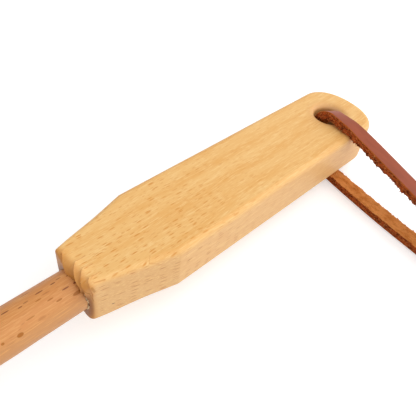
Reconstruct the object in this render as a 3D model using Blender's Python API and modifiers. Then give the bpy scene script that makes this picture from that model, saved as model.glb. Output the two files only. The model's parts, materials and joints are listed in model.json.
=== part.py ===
"""Long-handled beech scrub brush at rest on a table, metres, +Z up.

The brush is drawn in its own frame and then tilted as it lies. In that frame x runs along the rod from
the head to the grip's round end, z points away from the bristles, and the origin is the middle of the
grip's front end, where the rod goes in. The empty brush_pose carries everything but the lace, and the
empty lace_pivot, on the vertical axis that the lace loop swings about, carries the lace.
"""

import math

import bmesh
import bpy
from mathutils import Matrix, Vector

# Clearance between pieces that touch or are glued, and how far cutters run past what they cut
FIT_GAP = 0.0003
OVERRUN = 0.002

# How close two points are to count as level or as one
MATCH_DISTANCE = 0.00001

# Grip: a plank that tapers to the rod and ends round
GRIP_LENGTH = 0.154
GRIP_WIDTH = 0.0346
GRIP_NECK_WALL = 0.00065
GRIP_TAPER_LENGTH = 0.0306
GRIP_END_LENGTH = 0.0132
GRIP_THICKNESS = 0.020
GRIP_EDGE_RADIUS = 0.0028
GRIP_NECK_EDGE_RADIUS = 0.0012

# How far the grip was glued on to the far side of the rod's axis, and above it
GRIP_ASIDE = 0.0008
GRIP_ABOVE = 0.0007

# Hanging hole through the grip, with rounded rims
HOLE_RADIUS = 0.0065
HOLE_RIM_RADIUS = 0.0030
HOLE_FROM_END = 0.018

# Rod, glued into a blind bore at each end
ROD_RADIUS = 0.0075
ROD_SHOWN_LENGTH = 0.164
ROD_SEAT_DEPTH = 0.026

# Head: a block that holds the rod, over a board that holds the tufts
HEAD_LENGTH = 0.105
HEAD_WIDTH = 0.046
HEAD_NECK_WIDTH = 0.022
HEAD_TAPER_LENGTH = 0.024
HEAD_END_LENGTH = 0.016
HEAD_THICKNESS = 0.020
HEAD_EDGE_RADIUS = 0.0030
BOARD_THICKNESS = 0.008
BOARD_EDGE_RADIUS = 0.0015

# Tufts: rows along the head, each drawn into the board on one wire
ROW_COUNT = 5
ROW_PITCH = 0.0072
ROW_FROM_TAPER = 0.0025
ROW_TO_PIN = 0.0012
TUFT_SPACING = 0.0066
STRANDS_ROUND_TUFT = 6
STRAND_RADIUS = 0.0004
STRAND_SIDES = 3
TUFT_ROOT_RADIUS = 0.0014
TUFT_TIP_RADIUS = 0.0024
BRISTLE_LENGTH = 0.022
BRISTLE_FLAT = 0.0005
STRIP_WIDTH = 0.0052
STRIP_THICKNESS = 0.0012
STRIP_MARGIN = 0.0026
WIRE_RADIUS = 0.0004
WIRE_GROOVE_WIDTH = 0.0016

# Pins that hold the board to the block
PIN_HEAD_RADIUS = 0.0017
PIN_HEAD_HEIGHT = 0.0007
PIN_SHANK_RADIUS = 0.0008
PIN_LENGTH = 0.016
PIN_POINT_LENGTH = 0.002
PIN_FROM_NECK = 0.016
PIN_FROM_END = 0.007
PIN_SPREAD = 0.0095

# Lace: a flat leather strap looped through the hole, with its ends knotted together
LACE_WIDTH = 0.0062
LACE_THICKNESS = 0.0037
LACE_HEADROOM = 0.0006
LACE_SAMPLE_STEP = 0.007
LACE_BEND_STEP = 0.0016
KNOT_LENGTH = 0.014
KNOT_WIDTH = 0.017
KNOT_HEIGHT = 0.011
KNOT_EDGE = 0.0017
KNOT_PLACE = (-0.0144, -0.113)

# Routes of the lace's middle line, measured from the foot of its swing axis on the table
BRIDGE_ROUTE = (
    (-0.0045, -0.0067, 0.00195),
    (-0.0036, -0.0042, 0.0022),
    (-0.0022, -0.0015, 0.0036),
    (-0.0011, 0.0008, 0.0066),
    (-0.0007, 0.0021, 0.0110),
    (-0.0006, 0.0023, 0.0155),
    (-0.0006, 0.0021, 0.0200),
    (-0.0008, 0.0009, 0.0242),
    (-0.0012, -0.0014, 0.0272),
    (-0.0018, -0.0042, 0.0281),
    (-0.0023, -0.0067, 0.02815),
)
UPPER_ROUTE = (
    (-0.0024, -0.0070, 0.02815),
    (-0.0028, -0.0110, 0.02815),
    (-0.0032, -0.0150, 0.02795),
    (-0.0043, -0.0246, 0.02625),
    (-0.0057, -0.0350, 0.0243),
    (-0.0071, -0.0450, 0.0224),
    (-0.0089, -0.0600, 0.0192),
    (-0.0113, -0.0800, 0.0146),
    (-0.0136, -0.0990, 0.0098),
    (-0.0142, -0.1053, 0.0085),
)
LOWER_ROUTE = (
    (-0.0046, -0.0070, 0.00195),
    (-0.0059, -0.0110, 0.00195),
    (-0.0090, -0.0300, 0.00195),
    (-0.0117, -0.0510, 0.00195),
    (-0.0146, -0.0850, 0.00195),
    (-0.0147, -0.0990, 0.0021),
    (-0.0145, -0.1055, 0.0026),
)
TAIL_ROUTES = (
    (
        (-0.0122, -0.1204, 0.0025),
        (-0.0120, -0.1240, 0.0023),
        (-0.0110, -0.1340, 0.00195),
        (-0.0088, -0.1460, 0.00195),
    ),
    (
        (-0.0172, -0.1213, 0.0075),
        (-0.0178, -0.1240, 0.0067),
        (-0.0206, -0.1320, 0.0036),
        (-0.0240, -0.1394, 0.0021),
    ),
)

# Smoothness of round shapes, and how square the planks' round ends are
ROUND_STEPS = 40
END_STEPS = 16
EDGE_SEGMENTS = 4
FLARE_STEPS = 5
FLARE_ANGLE_SHARE = 0.86
END_EXPONENT = 2.2

# Places along the brush that several pieces share
HOLE_X = GRIP_LENGTH - HOLE_FROM_END
HEAD_X = -ROD_SHOWN_LENGTH
BLOCK_BOTTOM = -HEAD_THICKNESS / 2
BOARD_TOP = BLOCK_BOTTOM - FIT_GAP
BOARD_BOTTOM = BOARD_TOP - BOARD_THICKNESS
TIP_Z = BOARD_BOTTOM - BRISTLE_LENGTH
GRIP_NECK_WIDTH = 2 * (ROD_RADIUS + FIT_GAP + GRIP_NECK_WALL + GRIP_ASIDE)

# The rows run from the head's taper to just before the pins at its end, with whole tufts evenly spaced
ROW_START = HEAD_TAPER_LENGTH + ROW_FROM_TAPER
ROW_END = HEAD_LENGTH - PIN_FROM_END - PIN_HEAD_RADIUS - ROW_TO_PIN - STRIP_MARGIN
ROW_LENGTH = ROW_END - ROW_START
TUFTS_PER_ROW = 1 + round(ROW_LENGTH / TUFT_SPACING)
TUFT_PITCH = ROW_LENGTH / (TUFTS_PER_ROW - 1)

PARTS_COLLECTION = "scrub_brush"
CUTTERS_COLLECTION = "cutters"


def rest_pose():
    """Tilt about y and lift that lay the brush on its rear bristle tips and on the lace under the grip.

    The rearmost tips end up BRISTLE_FLAT below the table, where they are cut, and the rear end of the
    grip's flat underside is one lace and its headroom above the table.
    """
    tip_x = HEAD_X - ROW_START + TUFT_TIP_RADIUS
    heel_x = GRIP_LENGTH - GRIP_EDGE_RADIUS
    run = heel_x - tip_x
    rise = GRIP_ABOVE - GRIP_THICKNESS / 2 - TIP_Z
    raised = LACE_THICKNESS + LACE_HEADROOM + BRISTLE_FLAT
    tilt = math.acos(raised / math.hypot(run, rise)) - math.atan2(run, rise)
    lift = tip_x * math.sin(tilt) - TIP_Z * math.cos(tilt) - BRISTLE_FLAT
    return tilt, lift


TILT, LIFT = rest_pose()


def table_height(x):
    """z of the table in the brush's frame, at x."""
    return (x * math.sin(TILT) - LIFT) / math.cos(TILT)


def clear_scene():
    """Removes the objects and collections of the scene that the script is run in."""
    for obj in list(bpy.data.objects):
        bpy.data.objects.remove(obj, do_unlink=True)
    for collection in list(bpy.data.collections):
        bpy.data.collections.remove(collection)


def new_collection(name):
    """Adds a collection to the scene."""
    collection = bpy.data.collections.new(name)
    bpy.context.scene.collection.children.link(collection)
    return collection


def material(name, colour, roughness, metallic=0.0):
    """A Principled material of one colour."""
    made = bpy.data.materials.new(name)
    made.use_nodes = True
    shader = made.node_tree.nodes["Principled BSDF"]
    shader.inputs["Base Color"].default_value = (*colour, 1.0)
    shader.inputs["Roughness"].default_value = roughness
    shader.inputs["Metallic"].default_value = metallic
    return made


def add_empty(name, location, tilt=0.0):
    """An empty that carries pieces."""
    empty = bpy.data.objects.new(name, None)
    empty.location = location
    empty.rotation_euler = (0.0, tilt, 0.0)
    bpy.data.collections[PARTS_COLLECTION].objects.link(empty)
    return empty


def add_object(name, data, parent, finish):
    """A visible piece under an empty."""
    obj = bpy.data.objects.new(name, data)
    obj.data.materials.append(finish)
    obj.parent = parent
    bpy.data.collections[PARTS_COLLECTION].objects.link(obj)
    return obj


def mesh_of(name, bm):
    """Turns a bmesh into a mesh with its faces pointing out."""
    bmesh.ops.recalc_face_normals(bm, faces=bm.faces)
    mesh = bpy.data.meshes.new(name)
    bm.to_mesh(mesh)
    bm.free()
    return mesh


def smooth(mesh, degrees=30.0):
    """Shades a round piece smooth, but for its sharp edges."""
    mesh.shade_smooth()
    mesh.set_sharp_from_angle(angle=math.radians(degrees))
    return mesh


def helper(name, mesh, parent):
    """A cutter or a joined shape, which isn't rendered."""
    obj = bpy.data.objects.new(name, mesh)
    obj.parent = parent
    obj.hide_render = True
    obj.display_type = "WIRE"
    bpy.data.collections[CUTTERS_COLLECTION].objects.link(obj)
    return obj


def combine(obj, other, operation):
    """A Boolean of two objects."""
    modifier = obj.modifiers.new(other.name, "BOOLEAN")
    modifier.operation = operation
    modifier.solver = "EXACT"
    modifier.object = other


def applied(obj):
    """Mesh of an object with its modifiers applied; the object itself is removed."""
    evaluated = obj.evaluated_get(bpy.context.evaluated_depsgraph_get())
    made = bpy.data.meshes.new_from_object(evaluated)
    bpy.data.objects.remove(obj, do_unlink=True)
    return made


def cylinder(radius, start, end, steps=ROUND_STEPS):
    """A closed cylinder between two points."""
    axis = Vector(end) - Vector(start)
    turn = axis.to_track_quat("Z", "Y").to_matrix().to_4x4()
    bm = bmesh.new()
    bmesh.ops.create_cone(
        bm,
        cap_ends=True,
        segments=steps,
        radius1=radius,
        radius2=radius,
        depth=axis.length,
        matrix=Matrix.Translation((Vector(start) + Vector(end)) / 2) @ turn,
    )
    return bm


def box(low, high):
    """A closed box between two corners."""
    low, high = Vector(low), Vector(high)
    bm = bmesh.new()
    bmesh.ops.create_cube(
        bm, size=1.0, matrix=Matrix.Translation((low + high) / 2) @ Matrix.Diagonal((*(high - low), 1.0))
    )
    return bm


def turned(name, profile, steps=ROUND_STEPS):
    """A mesh turned about z from a profile of (radius, height) points that runs top to bottom."""
    bm = bmesh.new()
    points = [bm.verts.new((radius, 0.0, height)) for radius, height in profile]
    for first, second in zip(points, points[1:]):
        bm.edges.new((first, second))
    mesh = bpy.data.meshes.new(name)
    bm.to_mesh(mesh)
    bm.free()
    obj = bpy.data.objects.new(name, mesh)
    bpy.context.scene.collection.objects.link(obj)
    screw = obj.modifiers.new("turn", "SCREW")
    screw.steps = screw.render_steps = steps
    screw.use_merge_vertices = True
    screw.merge_threshold = MATCH_DISTANCE
    return applied(obj)


def plank_outline(length, width, neck_width, taper_length, end_length):
    """Plan of a plank: square neck at x = 0, straight taper, parallel sides and a round end."""
    outline = [(0.0, -neck_width / 2), (taper_length, -width / 2)]
    for step in range(END_STEPS + 1):
        angle = math.pi * (step / END_STEPS - 0.5)
        reach = abs(math.cos(angle)) ** (2 / END_EXPONENT)
        spread = math.copysign(abs(math.sin(angle)) ** (2 / END_EXPONENT), angle)
        outline.append((length - end_length + end_length * reach, width / 2 * spread))
    outline += [(taper_length, width / 2), (0.0, neck_width / 2)]
    return outline


def plank(name, outline, bottom, top, rounded_heights, radius, neck_radius=None):
    """A plank with its rims rounded at the given heights, and by another radius round its neck's end."""
    neck_share = 1.0 if neck_radius is None else neck_radius / radius
    bm = bmesh.new()
    face = bm.faces.new([bm.verts.new((x, y, bottom)) for x, y in outline])
    raised = bmesh.ops.extrude_face_region(bm, geom=[face])["geom"]
    for vertex in (item for item in raised if isinstance(item, bmesh.types.BMVert)):
        vertex.co.z = top
    weights = bm.edges.layers.float.new("bevel_weight_edge")
    for edge in bm.edges:
        first, second = (vertex.co for vertex in edge.verts)
        level = math.isclose(first.z, second.z, abs_tol=MATCH_DISTANCE)
        at_neck = max(abs(first.x), abs(second.x)) < MATCH_DISTANCE
        if level and not any(math.isclose(first.z, z, abs_tol=MATCH_DISTANCE) for z in rounded_heights):
            continue
        if at_neck:
            edge[weights] = neck_share
        elif level:
            edge[weights] = 1.0
    obj = bpy.data.objects.new(name, mesh_of(name, bm))
    bpy.context.scene.collection.objects.link(obj)
    rims = obj.modifiers.new("rims", "BEVEL")
    rims.limit_method = "WEIGHT"
    rims.offset_type = "OFFSET"
    rims.width = radius
    rims.segments = EDGE_SEGMENTS
    return smooth(applied(obj))


def make_grip(pose, beech):
    """Grip: tapered plank, blind bore for the rod and a hanging hole with rounded rims."""
    outline = plank_outline(GRIP_LENGTH, GRIP_WIDTH, GRIP_NECK_WIDTH, GRIP_TAPER_LENGTH, GRIP_END_LENGTH)
    half = GRIP_THICKNESS / 2
    mesh = plank("grip", outline, -half, half, (-half, half), GRIP_EDGE_RADIUS, GRIP_NECK_EDGE_RADIUS)
    mesh.transform(Matrix.Translation((0, GRIP_ASIDE, GRIP_ABOVE)))
    grip = add_object("grip", mesh, pose, beech)
    bore = cylinder(ROD_RADIUS + FIT_GAP, (-OVERRUN, 0, 0), (ROD_SEAT_DEPTH + FIT_GAP, 0, 0))
    combine(grip, helper("grip_rod_bore", smooth(mesh_of("grip_rod_bore", bore)), pose), "DIFFERENCE")
    hole = helper("grip_hanging_hole", smooth(hole_cutter("grip_hanging_hole", half)), pose)
    hole.location = (HOLE_X, GRIP_ASIDE, GRIP_ABOVE)
    combine(grip, hole, "DIFFERENCE")
    return grip


def hole_cutter(name, half):
    """Turned cutter whose mouths flare in a quarter circle, the round rims of the hanging hole."""
    flare = []
    for step in range(FLARE_STEPS + 1):
        angle = math.pi / 2 * FLARE_ANGLE_SHARE * (1 - step / FLARE_STEPS)
        radius = HOLE_RADIUS + HOLE_RIM_RADIUS * (1 - math.cos(angle))
        flare.append((radius, half - HOLE_RIM_RADIUS * (1 - math.sin(angle))))
    widest = flare[0][0]
    upper = [(0.0, half + OVERRUN), (widest, half + OVERRUN)] + flare
    lower = [(radius, -height) for radius, height in reversed(upper)]
    return turned(name, upper + lower)


def make_rod(pose, beech):
    """Rod between the blind bores of the grip and the head."""
    start = (HEAD_X - ROD_SEAT_DEPTH, 0, 0)
    mesh = smooth(mesh_of("rod", cylinder(ROD_RADIUS, start, (ROD_SEAT_DEPTH, 0, 0))))
    return add_object("rod", mesh, pose, beech)


def head_outline():
    """Plan of the head in its own frame: the same kind of plank as the grip."""
    return plank_outline(HEAD_LENGTH, HEAD_WIDTH, HEAD_NECK_WIDTH, HEAD_TAPER_LENGTH, HEAD_END_LENGTH)


def turn_to_head(mesh):
    """Carries a mesh from the head's own frame, x from its neck to its end, into the brush's frame."""
    mesh.transform(Matrix.Translation((HEAD_X, 0, 0)) @ Matrix.Rotation(math.pi, 4, "Z"))
    return mesh


def pin_places():
    """Places of the four pins, in the head's own frame."""
    for x in (PIN_FROM_NECK, HEAD_LENGTH - PIN_FROM_END):
        for y in (-PIN_SPREAD, PIN_SPREAD):
            yield x, y


def row_places():
    """Middle line y of each row of tufts."""
    return [(row - (ROW_COUNT - 1) / 2) * ROW_PITCH for row in range(ROW_COUNT)]


def make_head_block(pose, beech):
    """Block of the head, with the rod's blind bore and the pins' holes."""
    top = HEAD_THICKNESS / 2
    mesh = plank("head_block", head_outline(), BLOCK_BOTTOM, top, (top,), HEAD_EDGE_RADIUS)
    block = add_object("head_block", turn_to_head(mesh), pose, beech)
    bore = cylinder(ROD_RADIUS + FIT_GAP, (-OVERRUN, 0, 0), (ROD_SEAT_DEPTH + FIT_GAP, 0, 0))
    bore_mesh = turn_to_head(smooth(mesh_of("head_rod_bore", bore)))
    combine(block, helper("head_rod_bore", bore_mesh, pose), "DIFFERENCE")
    low_z = BLOCK_BOTTOM - OVERRUN
    high_z = BOARD_BOTTOM + PIN_LENGTH + FIT_GAP
    for number, (x, y) in enumerate(pin_places(), 1):
        name = f"block_pin_hole_{number}"
        hole = cylinder(PIN_SHANK_RADIUS + FIT_GAP, (x, y, low_z), (x, y, high_z), ROUND_STEPS // 2)
        combine(block, helper(name, turn_to_head(smooth(mesh_of(name, hole))), pose), "DIFFERENCE")
    return block


def make_tuft_board(pose, beech):
    """Board under the block: wire grooves above, seats for the backed tufts below, and pin holes."""
    mesh = plank("tuft_board", head_outline(), BOARD_BOTTOM, BOARD_TOP, (BOARD_BOTTOM,), BOARD_EDGE_RADIUS)
    board = add_object("tuft_board", turn_to_head(mesh), pose, beech)
    for number, y in enumerate(row_places(), 1):
        seat_end = STRIP_MARGIN + FIT_GAP
        seat_half = STRIP_WIDTH / 2 + FIT_GAP
        low = (ROW_START - seat_end, y - seat_half, BOARD_BOTTOM - OVERRUN)
        high = (ROW_END + seat_end, y + seat_half, BOARD_BOTTOM + STRIP_THICKNESS + FIT_GAP)
        seat = mesh_of(f"tuft_seat_{number}", box(low, high))
        combine(board, helper(seat.name, turn_to_head(seat), pose), "DIFFERENCE")
        groove_half = WIRE_GROOVE_WIDTH / 2
        low = (low[0], y - groove_half, BOARD_TOP - WIRE_GROOVE_WIDTH)
        high = (high[0], y + groove_half, BOARD_TOP + OVERRUN)
        groove = mesh_of(f"wire_groove_{number}", box(low, high))
        combine(board, helper(groove.name, turn_to_head(groove), pose), "DIFFERENCE")
    for number, (x, y) in enumerate(pin_places(), 1):
        name = f"board_pin_hole_{number}"
        shaft = PIN_SHANK_RADIUS + FIT_GAP
        recess = PIN_HEAD_RADIUS + FIT_GAP
        seat_z = BOARD_BOTTOM + PIN_HEAD_HEIGHT + FIT_GAP
        profile = (
            (0.0, BOARD_TOP + OVERRUN),
            (shaft, BOARD_TOP + OVERRUN),
            (shaft, seat_z),
            (recess, seat_z),
            (recess, BOARD_BOTTOM - OVERRUN),
            (0.0, BOARD_BOTTOM - OVERRUN),
        )
        hole = turned(name, profile, ROUND_STEPS // 2)
        hole.transform(Matrix.Translation((x, y, 0)))
        combine(board, helper(name, turn_to_head(smooth(hole)), pose), "DIFFERENCE")
    return board


def make_pins(pose, brass):
    """Four pins driven up through the board into the block, their heads flush with the board."""
    profile = (
        (0.0, BOARD_BOTTOM + PIN_LENGTH),
        (PIN_SHANK_RADIUS, BOARD_BOTTOM + PIN_LENGTH - PIN_POINT_LENGTH),
        (PIN_SHANK_RADIUS, BOARD_BOTTOM + PIN_HEAD_HEIGHT),
        (PIN_HEAD_RADIUS, BOARD_BOTTOM + PIN_HEAD_HEIGHT),
        (PIN_HEAD_RADIUS, BOARD_BOTTOM),
        (0.0, BOARD_BOTTOM),
    )
    for number, (x, y) in enumerate(pin_places(), 1):
        mesh = turned(f"board_pin_{number}", profile, ROUND_STEPS // 2)
        mesh.transform(Matrix.Translation((x, y, 0)))
        add_object(f"board_pin_{number}", turn_to_head(smooth(mesh)), pose, brass)


def make_wires(pose, brass):
    """One draw wire above each row of tufts, in its groove."""
    height = BOARD_TOP - WIRE_GROOVE_WIDTH + FIT_GAP + WIRE_RADIUS
    for number, y in enumerate(row_places(), 1):
        curve = bpy.data.curves.new(f"draw_wire_{number}", "CURVE")
        curve.dimensions = "3D"
        curve.bevel_depth = WIRE_RADIUS
        curve.bevel_resolution = 2
        curve.use_fill_caps = True
        spline = curve.splines.new("POLY")
        spline.points.add(1)
        near = HEAD_X - ROW_START + STRIP_MARGIN
        far = HEAD_X - ROW_START - ROW_LENGTH - STRIP_MARGIN
        spline.points[0].co = (near, y, height, 1.0)
        spline.points[1].co = (far, y, height, 1.0)
        add_object(f"draw_wire_{number}", curve, pose, brass)


def strand_places():
    """Root and tip offsets of a tuft's strands from its middle: one upright, the rest leaning out."""
    yield (0.0, 0.0), (0.0, 0.0)
    for index in range(STRANDS_ROUND_TUFT):
        angle = 2 * math.pi * (index + 0.5) / STRANDS_ROUND_TUFT
        way = (math.cos(angle), math.sin(angle))
        yield (
            (TUFT_ROOT_RADIUS * way[0], TUFT_ROOT_RADIUS * way[1]),
            (TUFT_TIP_RADIUS * way[0], TUFT_TIP_RADIUS * way[1]),
        )


def add_strand(bm, root, tip):
    """Adds one straight strand, cut level with the table where it would go below it."""
    axis = tip - root
    turn = axis.to_track_quat("Z", "Y").to_matrix().to_4x4()
    made = bmesh.ops.create_cone(
        bm,
        cap_ends=True,
        segments=STRAND_SIDES,
        radius1=STRAND_RADIUS,
        radius2=STRAND_RADIUS,
        depth=axis.length,
        matrix=Matrix.Translation((root + tip) / 2) @ turn,
    )
    for vertex in made["verts"]:
        vertex.co.z = max(vertex.co.z, table_height(vertex.co.x))


def make_tuft_row(pose, fibre, number, y):
    """One row of tufts, its strands fused to a strip of their backing."""
    first_x = HEAD_X - ROW_START
    last_x = first_x - ROW_LENGTH
    half = STRIP_WIDTH / 2
    low = (last_x - STRIP_MARGIN, y - half, BOARD_BOTTOM)
    high = (first_x + STRIP_MARGIN, y + half, BOARD_BOTTOM + STRIP_THICKNESS)
    row = add_object(f"tuft_row_{number}", mesh_of(f"tuft_row_{number}", box(low, high)), pose, fibre)
    bm = bmesh.new()
    for tuft in range(TUFTS_PER_ROW):
        x = first_x - tuft * TUFT_PITCH
        for (root_x, root_y), (tip_x, tip_y) in strand_places():
            root = Vector((x + root_x, y + root_y, BOARD_BOTTOM + STRIP_THICKNESS / 2))
            tip = Vector((x + tip_x, y + tip_y, TIP_Z))
            add_strand(bm, root, tip)
    strands = helper(f"strands_{number}", mesh_of(f"strands_{number}", bm), pose)
    combine(row, strands, "UNION")
    return row


def smooth_route(points, step):
    """Points about one step apart on a smooth curve through a route's own points."""
    knots = [Vector(point) for point in points]
    ends = [2 * knots[0] - knots[1]] + knots + [2 * knots[-1] - knots[-2]]
    made = []
    for before, start, end, after in zip(ends, ends[1:], ends[2:], ends[3:]):
        count = max(1, round((end - start).length / step))
        for index in range(count):
            t = index / count
            made.append(
                0.5
                * (
                    2 * start
                    + (end - before) * t
                    + (2 * before - 5 * start + 4 * end - after) * t**2
                    + (3 * start - before - 3 * end + after) * t**3
                )
            )
    return made + [knots[-1]]


def make_strap(name, pivot, leather, route, step):
    """A flat stretch of lace along a route: a ribbon, level across, thickened by Solidify."""
    centres = smooth_route(route, step)
    bm = bmesh.new()
    pairs = []
    for index, centre in enumerate(centres):
        along = centres[min(index + 1, len(centres) - 1)] - centres[max(index - 1, 0)]
        across = Vector((1, 0, 0))
        across = (across - across.project(along)).normalized() * (LACE_WIDTH / 2)
        pairs.append((bm.verts.new(centre - across), bm.verts.new(centre + across)))
    for (a, b), (c, d) in zip(pairs, pairs[1:]):
        bm.faces.new((a, b, d, c))
    strap = add_object(name, mesh_of(name, bm), pivot, leather)
    thicken = strap.modifiers.new("thickness", "SOLIDIFY")
    thicken.thickness = LACE_THICKNESS
    thicken.offset = 0.0
    thicken.use_even_offset = True
    return strap


def make_knot(pivot, leather):
    """Knot that joins the two legs of the lace: its outer shape."""
    x, y = KNOT_PLACE
    low = (x - KNOT_WIDTH / 2, y - KNOT_LENGTH / 2, 0.0)
    high = (x + KNOT_WIDTH / 2, y + KNOT_LENGTH / 2, KNOT_HEIGHT)
    knot = add_object("lace_knot", mesh_of("lace_knot", box(low, high)), pivot, leather)
    soften = knot.modifiers.new("edges", "BEVEL")
    soften.width = KNOT_EDGE
    soften.segments = 2
    return knot


def make_lace(pivot, leather):
    """Lace: the stretch in the hole, two legs, the knot and its two tails."""
    make_strap("lace_bridge", pivot, leather, BRIDGE_ROUTE, LACE_BEND_STEP)
    make_strap("lace_upper", pivot, leather, UPPER_ROUTE, LACE_SAMPLE_STEP)
    make_strap("lace_lower", pivot, leather, LOWER_ROUTE, LACE_SAMPLE_STEP)
    make_knot(pivot, leather)
    for number, route in enumerate(TAIL_ROUTES, 1):
        make_strap(f"lace_tail_{number}", pivot, leather, route, LACE_SAMPLE_STEP)


def middle_x(objects):
    """Middle of the objects' extent along world x."""
    bpy.context.view_layer.update()
    graph = bpy.context.evaluated_depsgraph_get()
    reach = []
    for obj in objects:
        evaluated = obj.evaluated_get(graph)
        mesh = evaluated.to_mesh()
        reach += [(evaluated.matrix_world @ vertex.co).x for vertex in mesh.vertices]
        evaluated.to_mesh_clear()
    return (min(reach) + max(reach)) / 2


def main():
    """Builds the brush and stands the world's origin under the middle of its length."""
    clear_scene()
    new_collection(PARTS_COLLECTION)
    new_collection(CUTTERS_COLLECTION)
    beech = material("beech", (0.80, 0.58, 0.33), 0.55)
    rod_beech = material("rod_beech", (0.70, 0.42, 0.22), 0.55)
    fibre = material("plant_fibre", (0.62, 0.46, 0.24), 0.80)
    brass = material("brass", (0.78, 0.57, 0.28), 0.30, 1.0)
    leather = material("leather", (0.38, 0.12, 0.07), 0.60)
    pose = add_empty("brush_pose", (0.0, 0.0, LIFT), TILT)
    grip = make_grip(pose, beech)
    make_rod(pose, rod_beech)
    block = make_head_block(pose, beech)
    board = make_tuft_board(pose, beech)
    make_pins(pose, brass)
    make_wires(pose, brass)
    for number, y in enumerate(row_places(), 1):
        make_tuft_row(pose, fibre, number, y)
    shift = -middle_x((grip, block, board))
    pose.location.x = shift
    pivot_x = shift + HOLE_X * math.cos(TILT) + GRIP_ABOVE * math.sin(TILT)
    pivot = add_empty("lace_pivot", (pivot_x, GRIP_ASIDE, 0.0))
    make_lace(pivot, leather)


main()
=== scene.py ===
"""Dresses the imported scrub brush: beech grip, rod and head, fibre tufts and a leather lace.

Lengths are metres. The wooden pieces are worked out in the brush's own frame, in which x runs
along the rod from the head to the grip's round end and z points away from the tufts, with the
origin where the rod goes into the grip. BrushFrame carries them to where the brush lies.
"""

import json
import logging
import math
from collections.abc import Callable, Sequence
from dataclasses import dataclass, field
from enum import Enum, IntEnum

import bmesh
import bpy
import numpy as np
from bpy.types import Material, Mesh, Object
from mathutils import Matrix, Vector


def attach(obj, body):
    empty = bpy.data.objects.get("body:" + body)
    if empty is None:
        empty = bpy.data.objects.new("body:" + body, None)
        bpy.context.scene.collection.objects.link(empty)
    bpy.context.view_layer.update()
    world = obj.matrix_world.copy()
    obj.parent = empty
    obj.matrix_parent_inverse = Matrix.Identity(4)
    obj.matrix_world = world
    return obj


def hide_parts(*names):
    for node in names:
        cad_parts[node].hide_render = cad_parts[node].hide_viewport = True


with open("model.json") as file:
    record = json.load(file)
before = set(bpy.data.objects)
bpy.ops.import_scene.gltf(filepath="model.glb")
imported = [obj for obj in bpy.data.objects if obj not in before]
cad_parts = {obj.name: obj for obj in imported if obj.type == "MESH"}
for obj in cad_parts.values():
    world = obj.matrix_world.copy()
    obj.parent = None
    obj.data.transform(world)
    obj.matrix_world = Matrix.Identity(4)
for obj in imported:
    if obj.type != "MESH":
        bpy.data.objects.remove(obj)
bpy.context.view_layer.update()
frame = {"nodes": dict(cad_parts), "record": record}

log = logging.getLogger("scrub_brush")

Array = np.ndarray
Pair = tuple[float, float]
Triple = tuple[float, float, float]
Colour = tuple[float, float, float]
Socket = bpy.types.NodeSocket
Value = float | Socket

# Width of the camera's sensor, and how close two points are to be one
SENSOR_WIDTH = 0.036
MERGE_DISTANCE = 0.000002
# Edges that turn more than this are shaded sharp
SHARP_DEGREES = 45.0
# Height over the table below which no strand or fibre reaches
TABLE_GAP = 0.00005
MILLIMETRES_PER_METRE = 1000.0
# Sine waves in a random relief
WAVES = 28


class Body(Enum):
    """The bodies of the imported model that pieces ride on."""

    BRUSH = "brush"
    LACE = "lace"


class Slot(Enum):
    """The record's material slots."""

    BEECH = "beech"
    ROD = "rod_beech"
    FIBRE = "plant_fibre"
    BRASS = "brass"
    LEATHER = "leather"


class Strap(IntEnum):
    """The sides of the lace, which are also the material slots of its meshes."""

    GRAIN = 0
    CUT = 1
    FLESH = 2


@dataclass(frozen=True)
class BrushFrame:
    """Where the brush lies: a turn about y and a shift carry its own frame onto the table.

    Attributes:
        tilt: turn about y, in radians, that lowers the grip's end.
        origin: where the frame's origin lies, in the row frame.
    """

    tilt: float
    origin: Triple

    @classmethod
    def from_record(cls, record: dict, hole_x: float, hole_z: float) -> "BrushFrame":
        """Reads the tilt from a mount's axis and the origin from the lace's hinge.

        Args:
            record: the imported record.
            hole_x: place of the hanging hole along the brush.
            hole_z: height of its middle above the rod's axis.

        Returns:
            The brush's frame.
        """
        axis = record["mounts"][0]["axis"]
        tilt = math.atan2(axis[0], axis[2])
        hinge = record["behaviour"]["joints"][0]["pos_m"]
        c, s = math.cos(tilt), math.sin(tilt)
        origin = (hinge[0] - hole_x * c - hole_z * s, 0.0, hinge[2] + hole_x * s - hole_z * c)
        return cls(tilt, origin)

    def turn(self, vectors: Array) -> Array:
        """Turns directions from the brush's frame into the row frame."""
        c, s = math.cos(self.tilt), math.sin(self.tilt)
        return np.asarray(vectors) @ np.array([[c, 0.0, -s], [0.0, 1.0, 0.0], [s, 0.0, c]])

    def place(self, points: Array) -> Array:
        """Carries points from the brush's frame into the row frame."""
        return self.turn(points) + np.array(self.origin)


def smooth_step(values: Array, start: float, end: float) -> Array:
    """Rises from 0 at start to 1 at end and is level at both: 3 t^2 - 2 t^3.

    Args:
        values: where the step is read.
        start: value at which it leaves 0.
        end: value at which it reaches 1; below start, the step falls.

    Returns:
        The step at each value.
    """
    share = np.clip((values - start) / (end - start), 0.0, 1.0)
    return share * share * (3.0 - 2.0 * share)


def ripple(places: Array, sizes: Sequence[float], seed: int) -> Array:
    """Smooth random relief: a sum of sine waves with random directions and phases.

    Args:
        places: points, in metres, in the last axis.
        sizes: about how long a bump is along each of that axis's coordinates.
        seed: picks the waves.

    Returns:
        Values of mean 0 and spread about 1, one for each point.
    """
    rng = np.random.default_rng(seed)
    directions = rng.normal(size=(len(sizes), WAVES)) * (math.pi / np.array(sizes))[:, None]
    phases = rng.uniform(0.0, math.tau, WAVES)
    return np.sin(places @ directions + phases).sum(-1) * math.sqrt(2.0 / WAVES)


def unit(vectors: Array) -> Array:
    """Vectors brought to length 1 over the last axis: v / |v|."""
    return vectors / np.linalg.norm(vectors, axis=-1, keepdims=True)


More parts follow.
